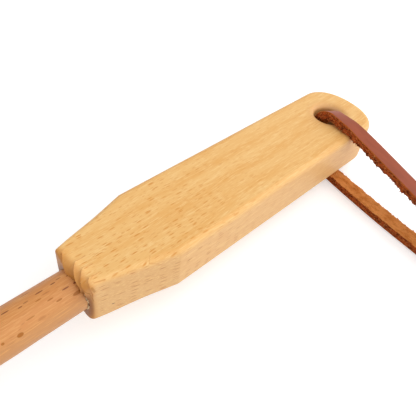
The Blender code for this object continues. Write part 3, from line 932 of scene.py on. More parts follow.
@dataclass
class Plank:
    """A plank with a square neck, a straight taper, parallel sides and a round end.

    It is drawn with its neck at x = 0 and its round end towards +x.

    Attributes:
        length: from neck to tip.
        width: between the parallel sides.
        neck_width: of the neck.
        taper_length: from the neck to the parallel sides.
        end_length: of the round end.
        low, high: heights of the lower and the upper face.
        low_edge, high_edge: radii of their rims.
        corner, far_corner: radii of the neck's near and far upright corners, and of rims there.
        low_corner: radius of the lower rim at the neck.
        side_reach: distances from the neck between which the side rims grow.
        front_reach: distances from the neck's corners between which the front's rims grow.
        bulge: how far the middle of the neck's face stands forward.
        kink: radius where taper and sides meet.
        end_power: how square the round end is, with 2 an ellipse.
        creases: places along the outline where two columns of points stand close together.
        crease_gap: between those two columns.
        side_rows: rows of points down half of the side.
    """

    length: float
    width: float
    neck_width: float
    taper_length: float
    end_length: float
    low: float
    high: float
    low_edge: float
    high_edge: float
    corner: float = 0.0030
    far_corner: float = 0.0030
    low_corner: float = 0.0030
    side_reach: Pair = (0.0022, 0.0080)
    front_reach: Pair = (0.0020, 0.0055)
    bulge: float = 0.0
    kink: float = 0.0060
    end_power: float = 2.2
    creases: tuple[float, ...] = ()
    crease_gap: float = 0.00007
    side_rows: int = 15

    def half_plan(self, corner: float) -> Array:
        """Plan from the middle of the neck along the -y side to the tip.

        The neck's face follows x = -bulge (1 - (y / half width)^2). The round end follows
        x = cos(a)^(2/n) and y = sin(a)^(2/n), scaled to the end.

        Args:
            corner: radius of the neck's corner.

        Returns:
            The plan's points, of shape (count, 2).
        """
        half, neck_half = self.width / 2.0, self.neck_width / 2.0
        slope = math.atan2(half - neck_half, self.taper_length)
        face_way = math.atan2(2.0 * self.bulge, neck_half) - math.pi / 2.0
        neck = fillet(np.array([0.0, -neck_half]), face_way, -slope, corner, CORNER_POINTS)
        sides_meet = np.array([self.taper_length, -half])
        bend = fillet(sides_meet, -slope, 0.0, self.kink, BEND_POINTS)
        y = np.linspace(0.0, neck[0, 1], FRONT_POINTS)[:-1]
        front = np.stack([-self.bulge * (1.0 - (y / neck_half) ** 2), y], -1)
        shares = np.linspace(0.0, 1.0, TAPER_POINTS)[1:-1, None] ** TAPER_CROWDING
        taper = neck[-1] + shares * (bend[0] - neck[-1])
        end_start = np.array([self.length - self.end_length, -half])
        shares = np.linspace(0.0, 1.0, SIDE_POINTS)[1:-1, None]
        side = bend[-1] + shares * (end_start - bend[-1])
        angles = np.linspace(-math.pi / 2.0, 0.0, END_POINTS)
        power = 2.0 / self.end_power
        end_x = end_start[0] + self.end_length * np.abs(np.cos(angles)) ** power
        end_y = -half * np.abs(np.sin(angles)) ** power
        return np.concatenate([front, neck, taper, bend, side, np.stack([end_x, end_y], -1)])

    def outline(self) -> tuple[Array, Array, Array]:
        """Closed plan, its outward normals and its path, walked with the inside on the left."""
        far = self.half_plan(self.far_corner)[1:-1][::-1] * (1.0, -1.0)
        near = self.half_plan(self.corner)
        points = np.concatenate([near, far, near[:1]])
        path = walked(points)
        length = path[-1]
        if self.creases:
            gap = self.crease_gap / 2.0
            middles = np.array([(-crease) % length for crease in self.creases])
            wanted = (middles[:, None] + (-gap, gap)).ravel()
            clear = np.abs(path[:, None] - wanted).min(1) > CREASE_ROOM * self.crease_gap
            places = np.sort(np.concatenate([path[clear], wanted]))
            points = np.stack([np.interp(places, path, points[:, k]) for k in (0, 1)], -1)
            path = places
        along = unit(np.roll(points[:-1], -1, 0) - np.roll(points[:-1], 1, 0))
        normals = np.stack([along[:, 1], -along[:, 0]], -1)
        around = np.where(path <= length / 2.0, -path, length - path)
        return points, np.concatenate([normals, normals[:1]]), around

    def rim_radius(self, outline: Array, rounding: float, upper: bool) -> Array:
        """Radius of a face's rim along the outline, which shrinks towards the neck's corners.

        Args:
            outline: the closed plan.
            rounding: the rim's own radius.
            upper: whether it is the upper face's.

        Returns:
            Radii of shape (count, 1).
        """
        corner = np.where(outline[:, 1:] > 0.0, self.far_corner, self.corner)
        corner = corner if upper else np.minimum(corner, self.low_corner)
        side = smooth_step(outline[:, :1], *self.side_reach)
        inwards = self.neck_width / 2.0 - np.abs(outline[:, 1:])
        grown = np.maximum(side, smooth_step(inwards, *self.front_reach))
        return np.minimum(rounding, corner + (rounding - corner) * grown)

    def half_shell(self, centre_x: float, eye: float, rim: float, upper: bool) -> tuple[Array, ...]:
        """Half of the surface, from inside the eye out over one face to the middle of the side.

        Args:
            centre_x: place of the eye, or of the pole where there is no eye.
            eye: radius of the hole, or 0.
            rim: radius of the hole's rounded rim.
            upper: whether it is the upper face.

        Returns:
            Plan points of shape (rows, columns, 2), their heights and their path over the rim.
        """
        outline, normals, _ = self.outline()
        face, rounding = (self.high, self.high_edge) if upper else (self.low, self.low_edge)
        edge = self.rim_radius(outline, rounding, upper)
        sign = 1.0 if upper else -1.0
        middle = (self.low + self.high) / 2.0
        centre = np.array([centre_x, 0.0])
        away = unit(outline - centre)
        inset = outline - edge * normals
        inner = centre + (eye + rim) * away
        level = np.ones(len(outline))
        turn = np.linspace(0.0, math.pi / 2.0, RIM_RINGS)
        rings: list[Array] = []

        def ring(plan: Array, height: Array | float, path: Array | float) -> None:
            """Adds a ring of points with their heights and their path over the rim."""
            rings.append(np.column_stack([plan, height * level, path * level]))

        if eye:
            for depth in np.linspace(middle, face - sign * rim, EYE_RINGS)[:-1]:
                ring(centre + eye * away, depth, 1.0)
            for a in turn:
                plan = centre + (eye + rim * (1.0 - math.cos(a))) * away
                ring(plan, face - sign * rim * (1.0 - math.sin(a)), 1.0)
        rounded = edge[:, 0]
        shares = 1.0 - (1.0 - np.linspace(0.0, 1.0, FACE_RINGS)) ** FACE_CROWDING
        for share in shares[1 if eye else 0 : -1]:
            plan = inner + share * (inset - inner)
            ring(plan, face, rounded * math.pi / 2.0 + np.linalg.norm(plan - inset, axis=1))
        for a in turn:
            height = face - sign * rounded * (1.0 - math.cos(a))
            ring(inset + edge * math.sin(a) * normals, height, rounded * (math.pi / 2.0 - a))
        rim_end = face - sign * rounded
        for share in np.linspace(0.0, 1.0, self.side_rows + 1)[1:]:
            height = rim_end + share * (middle - rim_end)
            ring(outline, height, -share * np.abs(middle - rim_end))
        made = np.stack(rings)
        return made[..., :2], made[..., 2], made[..., 3]

    def skin(self, centre_x: float, eye: float = 0.0, rim: float = 0.0) -> Skin:
        """The whole surface: over the upper face, down the side and back under the lower face.

        Args:
            centre_x: place of the eye, or of the poles where there is no eye.
            eye: radius of the hole, or 0.
            rim: radius of the hole's rounded rim.

        Returns:
            The surface, the seams repeated.
        """
        upper, lower = (self.half_shell(centre_x, eye, rim, above) for above in (True, False))
        plan = np.concatenate([upper[0], lower[0][::-1][1:]])
        height = np.concatenate([upper[1], lower[1][::-1][1:]])
        down = np.concatenate([upper[2], np.full_like(lower[2][1:], -1.0)])
        points = np.concatenate([plan, height[..., None]], -1)
        return Skin(points, down, self.outline()[2])


@dataclass
class Rod:
    """The round rod between the grip and the head.

    Attributes:
        radius: of the rod.
        shown: its length between the grip and the head.
        seat: how deep it sits in each of them.
        chamfer: of its ends.
        waviness: how far sanding left it out of true.
        play, end_play: room in a bore, round it and beyond its end.
        mouth: how far a bore's cutter stands out of the bore.
        rings, sides: rings along it and points round it.
        sharp_degrees: as in build_mesh.
    """

    radius: float = 0.0075
    shown: float = 0.164
    seat: float = 0.026
    chamfer: float = 0.0006
    waviness: float = 0.00004
    play: float = 0.00022
    end_play: float = 0.0003
    mouth: float = 0.004
    rings: int = 160
    sides: int = 96
    sharp_degrees: float = 35.0

    def build(self, place: BrushFrame, wood: Material) -> None:
        """Adds the rod: a cylinder with bevelled ends and a faint waviness from sanding.

        Args:
            place: where the brush lies.
            wood: its material.
        """
        start, end = -self.shown - self.seat, self.seat
        length, small = end - start, self.radius - self.chamfer
        even = np.linspace(self.chamfer, length - self.chamfer, self.rings)
        profile = [(0.0, 0.0), (0.0, small), *((x, self.radius) for x in even)]
        profile += [(length, small), (length, 0.0)]
        ends = np.array([[start, 0.0, 0.0], [end, 0.0, 0.0]])
        points = turned(ends[0], ends[1], profile, self.sides).points
        wave = self.waviness * ripple(points, (0.020, 0.009, 0.009), seed=3)
        radial = points[..., 1:] / self.radius
        points[..., 1:] += wave[..., None] * radial
        points[:, -1] = points[:, 0]
        mesh = build_mesh("rod_beech", [Grid(place.place(points))], self.sharp_degrees)
        add_piece(mesh, [wood], Body.BRUSH, ["rod"])

    def bore(self, name: str, carry: Callable[[Array], Array]) -> Mesh:
        """Makes the cutter for a bore that an end of the rod is glued into.

        Args:
            name: the cutter's name.
            carry: carries points into the row frame from one whose x runs into the bore.

        Returns:
            A closed cylinder that stands out of the mouth.
        """
        ends = carry(np.array([[-self.mouth, 0.0, 0.0], [self.seat + self.end_play, 0.0, 0.0]]))
        return build_mesh(name, [cylinder(ends[0], ends[1], self.radius + self.play, self.sides)])


@dataclass(frozen=True)
class Crease:
    """The proud edge of a panel carved on the grip's front.

    Attributes:
        down: places over the rim, as in Skin, from the lowest.
        around: where the edge lies along the outline at each of them.
        proud: how far it stands out.
    """

    down: tuple[float, ...]
    around: tuple[float, ...]
    proud: float

    def at(self, down: float | Array) -> float | Array:
        """Where the edge lies along the outline at a place over the rim."""
        return np.interp(down, self.down, self.around)


CREASES = (
    Crease((-0.0010, 0.0, 0.0011, 0.0018, 0.0025, 0.0031, 0.0041, 0.0060),
           (-0.0006, 0.0009, 0.0025, 0.0036, 0.0047, 0.0054, 0.0066, 0.0072), 0.0008),
    Crease((-0.0010, 0.0, 0.0017, 0.0026, 0.0032, 0.0042, 0.0056, 0.0074),
           (-0.0064, -0.0054, -0.0031, -0.0017, -0.0009, 0.0004, 0.0007, 0.0009), 0.0009),
    Crease((-0.0010, 0.0, 0.0014, 0.0024, 0.0033, 0.0040, 0.0049, 0.0075),
           (-0.0081, -0.0076, -0.0064, -0.0056, -0.0045, -0.0035, -0.0032, -0.0032), 0.0008),
    Crease((-0.0022, 0.0, 0.0024, 0.0028, 0.0032, 0.0038, 0.0045, 0.0062),
           (-0.0101, -0.0098, -0.0092, -0.0085, -0.0082, -0.0076, -0.0070, -0.0072), 0.0005),
)


@dataclass
class Grip:
    """The flat grip, with a hanging hole near its round end and carved panels round the rod.

    Attributes:
        plank: its outer shape.
        hole_x: place of the hanging hole.
        hole, rim: radii of the hole and of its rounded rim.
        aside, above: how far its middle lies to the far side of the rod's axis and above it.
        creases: edges of the carved panels, from the far side.
        even: place over the rim where the panels' edges lie on the plank's own creases.
        zone: ends of the carved front along the outline, near and far.
        fade_over, fade_down: places between which the panels fade, on the top and down the face.
        waviness: how far planing left its faces out of true.
    """

    plank: Plank
    hole_x: float = 0.136
    hole: float = 0.0065
    rim: float = 0.0030
    aside: float = 0.0008
    above: float = 0.0007
    creases: tuple[Crease, ...] = CREASES
    even: float = 0.0022
    zone: Pair = (-0.0150, 0.0130)
    fade_over: Pair = (0.0080, 0.0030)
    fade_down: Pair = (-0.0065, -0.0020)
    waviness: float = 0.00005

    def __post_init__(self) -> None:
        """Has the plank's points stand close together where the panels' edges run."""
        self.plank.creases = tuple(float(crease.at(self.even)) for crease in self.creases)

    def slide(self, skin: Skin, values: Array) -> Array:
        """Moves values along the outline so that their creases follow the panels' edges.

        Row by row, the shift is linear between the edges and out to the ends of the carved zone.

        Args:
            skin: the plank's surface.
            values: what is moved, of the shape of its points.

        Returns:
            The moved values.
        """
        order = np.argsort(skin.around[:-1])
        around = skin.around[:-1][order]
        gap = self.plank.crease_gap / 2.0
        sides = np.array([-gap, gap])
        rest = np.concatenate([crease + sides for crease in sorted(self.plank.creases)])
        near, far = [around[0], self.zone[0]], [self.zone[1], around[-1]]
        middle = int(np.abs(skin.around).argmin())
        made = values.copy()
        for row, down in enumerate(skin.down[:, middle]):
            edges = [float(crease.at(down)) + sides for crease in reversed(self.creases)]
            moved = np.concatenate([near, *edges, far])
            places = np.interp(around, np.concatenate([near, rest, far]), moved)
            for k in range(values.shape[-1]):
                made[row, order, k] = np.interp(places, around, values[row, order, k])
        made[:, -1] = made[:, 0]
        return made

    def proudness(self, skin: Skin) -> Array:
        """How far the panels stand out: proud (1 - way across)^2, faded over the top and down."""
        edges = [crease.at(self.even) for crease in self.creases] + [self.zone[0]]
        proud = np.zeros_like(skin.around)
        for crease, first, last in zip(self.creases, edges, edges[1:]):
            way = (first - skin.around) / (first - last)
            inside = (way > 0.0) & (way < 1.0)
            proud = np.where(inside, crease.proud * (1.0 - way) ** 2, proud)
        over, down = (smooth_step(skin.down, *fade) for fade in (self.fade_over, self.fade_down))
        return proud * (over * down)

    def carve(self, skin: Skin) -> Array:
        """Moves the surface out along its own normal by the panels' proudness.

        The normal is the cross product of the grid's two directions.

        Args:
            skin: the grip's plain surface.

        Returns:
            The carved surface.
        """
        points = self.slide(skin, skin.points)
        across = np.roll(skin.points[:, :-1], -1, 1) - np.roll(skin.points[:, :-1], 1, 1)
        across = np.concatenate([across, across[:, :1]], 1)
        normal = np.cross(np.gradient(skin.points, axis=0), across)
        length = np.linalg.norm(normal, axis=-1, keepdims=True)
        normal = np.divide(normal, length, out=np.zeros_like(normal), where=length > 0.0)
        outward = np.sign(normal[..., 2:] + 1e-9 - normal[..., :1])
        normal = self.slide(skin, normal * outward)
        return points + self.proudness(skin)[..., None] * normal

    def build(self, place: BrushFrame, rod: Rod, wood: Material) -> None:
        """Adds the grip, bored for the rod.

        Args:
            place: where the brush lies.
            rod: what it is bored for.
            wood: its material.
        """
        points = self.carve(self.plank.skin(self.hole_x, self.hole, self.rim))
        points[..., 2] += self.waviness * ripple(points, (0.045, 0.020, 0.020), seed=5)
        points += (0.0, self.aside, self.above)
        mesh = build_mesh("grip_beech", [Grid(place.place(points))])
        mesh = cut(mesh, rod.bore("grip_bore", place.place))
        add_piece(mesh, [wood], Body.BRUSH, ["grip"])


@dataclass
class GlueBead:
    """The thin crumbled bead of dried glue where the rod goes into the grip.

    Attributes:
        grip, rod: what it lies between.
        radius: of the bead where it is thin, and what that gains on the near side.
        crumbs: how far that radius wavers, and what this gains on the near side.
        least: the smallest radius.
        gains, loses: angles round the rod, from the far side over the top, where it thickens and
            where it thins again.
        off_rod, off_grip: from the rod to its middle line, and from that to the grip.
        steps: points round the rod and round the bead.
    """

    grip: Grip
    rod: Rod
    radius: Pair = (0.00005, 0.00025)
    crumbs: Pair = (0.00002, 0.00007)
    least: float = 0.00003
    gains: Pair = (1.5, 2.2)
    loses: Pair = (3.9, 3.4)
    off_rod: float = 0.00012
    off_grip: float = 0.00005
    steps: tuple[int, int] = (240, 10)

    def build(self, place: BrushFrame, glue: Material) -> None:
        """Adds the bead: a ring of uneven thickness that follows the grip's bulging front.

        Args:
            place: where the brush lies.
            glue: its material.
        """
        around, across = (np.linspace(0.0, math.tau, count + 1) for count in self.steps)
        direction = np.stack([np.zeros_like(around), np.cos(around), np.sin(around)], -1)
        share = smooth_step(around, *self.gains) * smooth_step(around, *self.loses)
        crumbs = ripple(direction * self.rod.radius, (0.001,) * 3, seed=8)
        radius = self.radius[0] + self.radius[1] * share
        radius += (self.crumbs[0] + self.crumbs[1] * share) * crumbs
        radius[-1] = radius[0]
        radius = np.clip(radius, self.least, None)[:, None]
        y = direction[:, 1:2] * self.rod.radius - self.grip.aside
        half_front = self.grip.plank.neck_width / 2.0
        forward = self.grip.plank.bulge * (1.0 - (y / half_front) ** 2)
        radial = self.rod.radius + self.off_rod + radius * np.cos(across)
        points = direction[:, None, :] * radial[..., None]
        points[..., 0] = -forward + self.off_grip - radius * np.sin(across)
        mesh = build_mesh("glue_bead", [Grid(place.place(points))])
        add_piece(mesh, [glue], Body.BRUSH)


@dataclass
class Head:
    """The head: a block that holds the rod, over a drilled board.

    Attributes:
        block, board: their shapes.
        rod: the rod that it is on.
        pole: place of the faces' poles, as a share of the length.
        rows: rows of tufts.
        row_pitch: between the rows.
        first: from the neck to the first tuft.
        tufts: tufts in a row.
        pitch: between the tufts of a row.
        tuft_hole, hole_depth: radius and depth of a tuft's hole.
        pin_places: places of the pins, from the neck and from the middle line.
        pin_radius, pin_play, pin_depth: radius of a pin's head, room round it and its depth.
        mouth: how far a hole's cutter stands out of the board.
        hole_sides: points round a hole.
    """

    block: Plank
    board: Plank
    rod: Rod
    pole: float = 0.55
    rows: int = 5
    row_pitch: float = 0.0072
    first: float = 0.0265
    tufts: int = 11
    pitch: float = 0.0066
    tuft_hole: float = 0.0018
    hole_depth: float = 0.0055
    pin_places: tuple[Pair, ...] = ((0.016, 0.0095), (0.098, 0.0095))
    pin_radius: float = 0.0017
    pin_play: float = 0.0002
    pin_depth: float = 0.0012
    mouth: float = 0.002
    hole_sides: int = 28

    def row_y(self) -> Array:
        """Middle line of each row."""
        return (np.arange(self.rows) - (self.rows - 1) / 2.0) * self.row_pitch

    def turn(self, points: Array) -> Array:
        """Carries points from the head's frame, x from its neck to its end, into the brush's."""
        return points * (-1.0, -1.0, 1.0) + (-self.rod.shown, 0.0, 0.0)

    def uncut(self, name: str, plank: Plank, place: BrushFrame) -> Mesh:
        """Makes the block's or the board's mesh before it is bored."""
        points = self.turn(plank.skin(plank.length * self.pole).points)
        return build_mesh(name, [Grid(place.place(points))])

    def build_block(self, place: BrushFrame, wood: Material) -> None:
        """Adds the block, bored for the rod."""
        mesh = self.uncut("head_block_beech", self.block, place)
        mesh = cut(mesh, self.rod.bore("head_bore", lambda ends: place.place(self.turn(ends))))
        add_piece(mesh, [wood], Body.BRUSH, ["head_block"])

    def holes(self) -> list[tuple[float, float, float, float]]:
        """Place along and across, depth and radius of each hole in the board."""
        along = self.first + np.arange(self.tufts) * self.pitch
        made = [(x, y, self.hole_depth, self.tuft_hole) for y in self.row_y() for x in along]
        for x, spread in self.pin_places:
            radius = self.pin_radius + self.pin_play
            made += [(x, y, self.pin_depth, radius) for y in (-spread, spread)]
        return made

    def build_board(self, place: BrushFrame, wood: Material) -> None:
        """Adds the board, with a hole for each tuft and a counterbore for each pin."""
        mesh = self.uncut("tuft_board_beech", self.board, place)
        low = self.board.low
        grids = []
        for x, y, depth, radius in self.holes():
            ends = place.place(self.turn(np.array([[x, y, low - self.mouth], [x, y, low + depth]])))
            grids.append(cylinder(ends[0], ends[1], radius, self.hole_sides))
        mesh = cut(mesh, build_mesh("board_holes", grids))
        add_piece(mesh, [wood], Body.BRUSH, ["tuft_board"])


@dataclass
class Tufts:
    """The tufts of stiff fibre, splayed a little and trimmed level.

    Attributes:
        head: the head that they stand in.
        strands: strands in a tuft.
        root, tip: radii of a tuft where it leaves the board and at its tips.
        length: of a strand from the board's face.
        sunk: how deep its root lies in the board.
        thickness, taper: radius of a strand, and the share of it lost by the tip.
        splay: power by which strands bend outwards.
        stray: how far tips lie from their places.
        bow: how far strands bow.
        wave, waves: how far they wave, and how much of a wave there is along one, in radians.
        trim: how much shorter some are.
        rings, sides: rings along a strand and its sides.
        sharp_degrees: as in build_mesh.
    """

    head: Head
    strands: int = 34
    root: float = 0.00145
    tip: float = 0.0026
    length: float = 0.022
    sunk: float = 0.003
    thickness: float = 0.00022
    taper: float = 0.25
    splay: float = 1.3
    stray: float = 0.00045
    bow: float = 0.0007
    wave: float = 0.00016
    waves: float = 9.0
    trim: float = 0.00035
    rings: int = 6
    sides: int = 4
    sharp_degrees: float = 60.0

    def row(self, y: float, seed: int, place: BrushFrame) -> tuple[Array, Array]:
        """One row's strands, each a sheet of rings.

        Roots fill a disc in a sunflower pattern. A strand's middle line runs from its root to a
        point further out, bowed by t - t^2 and waved by a small sine, and each ring is a square
        round it.

        Args:
            y: the row's middle line.
            seed: picks their small differences.
            place: where the brush lies.

        Returns:
            Points of shape (strands, rings and ends, sides + 1, 3), and each one's tint.
        """
        rng = np.random.default_rng(seed)
        count = self.head.tufts * self.strands
        tuft, strand = np.divmod(np.arange(count), self.strands)
        spread = np.sqrt((strand + 0.5) / self.strands)
        golden = math.pi * (3.0 - math.sqrt(5.0))
        angle = strand * golden + rng.uniform(0.0, math.tau, self.head.tufts)[tuft]
        out = np.stack([np.cos(angle), np.sin(angle)], -1)
        middle = np.stack([self.head.first + tuft * self.head.pitch, np.full(count, y)], -1)
        root = middle + out * (self.root * spread)[:, None]
        tip = middle + out * (self.tip * spread)[:, None]
        tip = tip + rng.normal(0.0, self.stray, (count, 2))
        bow = rng.normal(0.0, self.bow, (count, 2))
        phase = rng.uniform(0.0, math.tau, (count, 2))
        way = np.linspace(0.0, 1.0, self.rings)[:, None]
        line = root[:, None] + (tip - root)[:, None] * way**self.splay
        line += bow[:, None] * (way - way**2)
        line += self.wave * np.sin(phase[:, None] + way * self.waves) * way
        short = np.abs(rng.normal(0.0, self.trim, count))[:, None]
        top = self.head.board.low + self.sunk
        height = top - way[:, 0] * (self.length + self.sunk - short)
        radius = self.thickness * rng.uniform(0.75, 1.25, count)[:, None]
        radius = radius * (1.0 - self.taper * way[:, 0])
        corner = np.arange(self.sides + 1) * math.tau / self.sides + phase[:, :1]
        ring = np.stack([np.cos(corner), np.sin(corner)], -1)
        plan = line[:, :, None] + radius[..., None, None] * ring[:, None]
        levels = np.broadcast_to(height[..., None, None], (*plan.shape[:3], 1))
        points = np.concatenate([plan, levels], -1)
        caps = np.broadcast_to(points[:, :, :-1].mean(2, keepdims=True), points.shape)
        points = np.concatenate([caps[:, :1], points, caps[:, -1:]], 1)
        world = place.place(self.head.turn(points))
        world[..., 2] = np.maximum(world[..., 2], TABLE_GAP)
        tint = np.broadcast_to(rng.beta(2.0, 2.6, count)[:, None, None], world.shape[:3])
        return world, tint

    def build(self, place: BrushFrame, fibre: Material) -> None:
        """Adds one piece for each row.

        Args:
            place: where the brush lies.
            fibre: the strands' material.
        """
        for number, y in enumerate(self.head.row_y()[::-1], 1):
            node = f"tuft_row_{number}"
            strands = zip(*self.row(float(y), 40 + number, place))
            grids = [Grid(points, marks={"tint": tint}) for points, tint in strands]
            mesh = build_mesh(f"{node}_fibres", grids, self.sharp_degrees)
            add_piece(mesh, [fibre], Body.BRUSH, [node])


def smooth_line(route: Sequence[Sequence[float]], step: float) -> tuple[Array, list[int]]:
    """Points about one step apart on a smooth curve through given points.

    Between two of them the curve is the cubic that leaves and reaches them along the line between
    their neighbours.

    Args:
        route: the given points.
        step: between the curve's points.

    Returns:
        The curve, and the number of its point at each given one.
    """
    knots = np.array(route)
    ends = np.concatenate([2 * knots[:1] - knots[1:2], knots, 2 * knots[-1:] - knots[-2:-1]])
    made, starts = [], [0]
    for before, start, end, after in zip(ends, ends[1:], ends[2:], ends[3:]):
        count = max(2, round(float(np.linalg.norm(end - start)) / step))
        t = (np.arange(count) / count)[:, None]
        bowed = (2 * before - 5 * start + 4 * end - after) * t**2
        bowed = bowed + (3 * start - before - 3 * end + after) * t**3
        made.append(0.5 * (2 * start + (end - before) * t + bowed))
        starts.append(starts[-1] + count)
    return np.concatenate([*made, knots[-1:]]), starts


@dataclass(frozen=True)
class Stretch:
    """One stretch of the lace.

    Attributes:
        name: its node's name.
        grain_side: 1 where the grain lies to the left of the way as it is walked, seen along +x,
            or -1.
        route: points of its middle line, from the foot of the lace's swing axis on the table.
    """

    name: str
    grain_side: int
    route: tuple[Triple, ...]

    def line(self, step: float) -> Array:
        """Points about one step apart on a smooth curve through the route's own points."""
        return smooth_line(self.route, step)[0]


BRIDGE = Stretch("lace_bridge", 1, (
    (-0.0045, -0.0067, 0.00195), (-0.0036, -0.0042, 0.0022), (-0.0022, -0.0015, 0.0036),
    (-0.0011, 0.0008, 0.0066), (-0.0007, 0.0020, 0.0110), (-0.0006, 0.0024, 0.0155),
    (-0.0006, 0.0023, 0.0198), (-0.0008, 0.0012, 0.0236), (-0.0012, -0.0010, 0.0262),
    (-0.0017, -0.0038, 0.0277), (-0.0023, -0.0067, 0.02820),
))
UPPER = Stretch("lace_upper", 1, (
    (-0.0024, -0.0070, 0.02815), (-0.0028, -0.0110, 0.02815), (-0.0032, -0.0150, 0.02795),
    (-0.0043, -0.0246, 0.02625), (-0.0057, -0.0350, 0.0243), (-0.0071, -0.0450, 0.0224),
    (-0.0089, -0.0600, 0.0192), (-0.0113, -0.0800, 0.0146), (-0.0136, -0.0990, 0.0098),
    (-0.0142, -0.1053, 0.0085),
))
LOWER = Stretch("lace_lower", -1, (
    (-0.0046, -0.0070, 0.00195), (-0.0059, -0.0110, 0.00195), (-0.0090, -0.0300, 0.00195),
    (-0.0117, -0.0510, 0.00195), (-0.0146, -0.0850, 0.00195), (-0.0147, -0.0990, 0.0021),
    (-0.0145, -0.1055, 0.0026),
))
TAILS = (
    Stretch("lace_tail_1", -1, (
        (-0.0122, -0.1204, 0.0025), (-0.0120, -0.1240, 0.0023), (-0.0110, -0.1340, 0.00195),
        (-0.0088, -0.1460, 0.00195),
    )),
    Stretch("lace_tail_2", 1, (
        (-0.0172, -0.1213, 0.0075), (-0.0178, -0.1240, 0.0067), (-0.0206, -0.1320, 0.0036),
        (-0.0240, -0.1394, 0.0021),
    )),
)
# Bumps of the strap's rough sides: their length along and round it, and their weight
RELIEF = (((0.0034, 0.0024), 0.9), ((0.0012, 0.0010), 0.6), ((0.0005, 0.0005), 0.5))


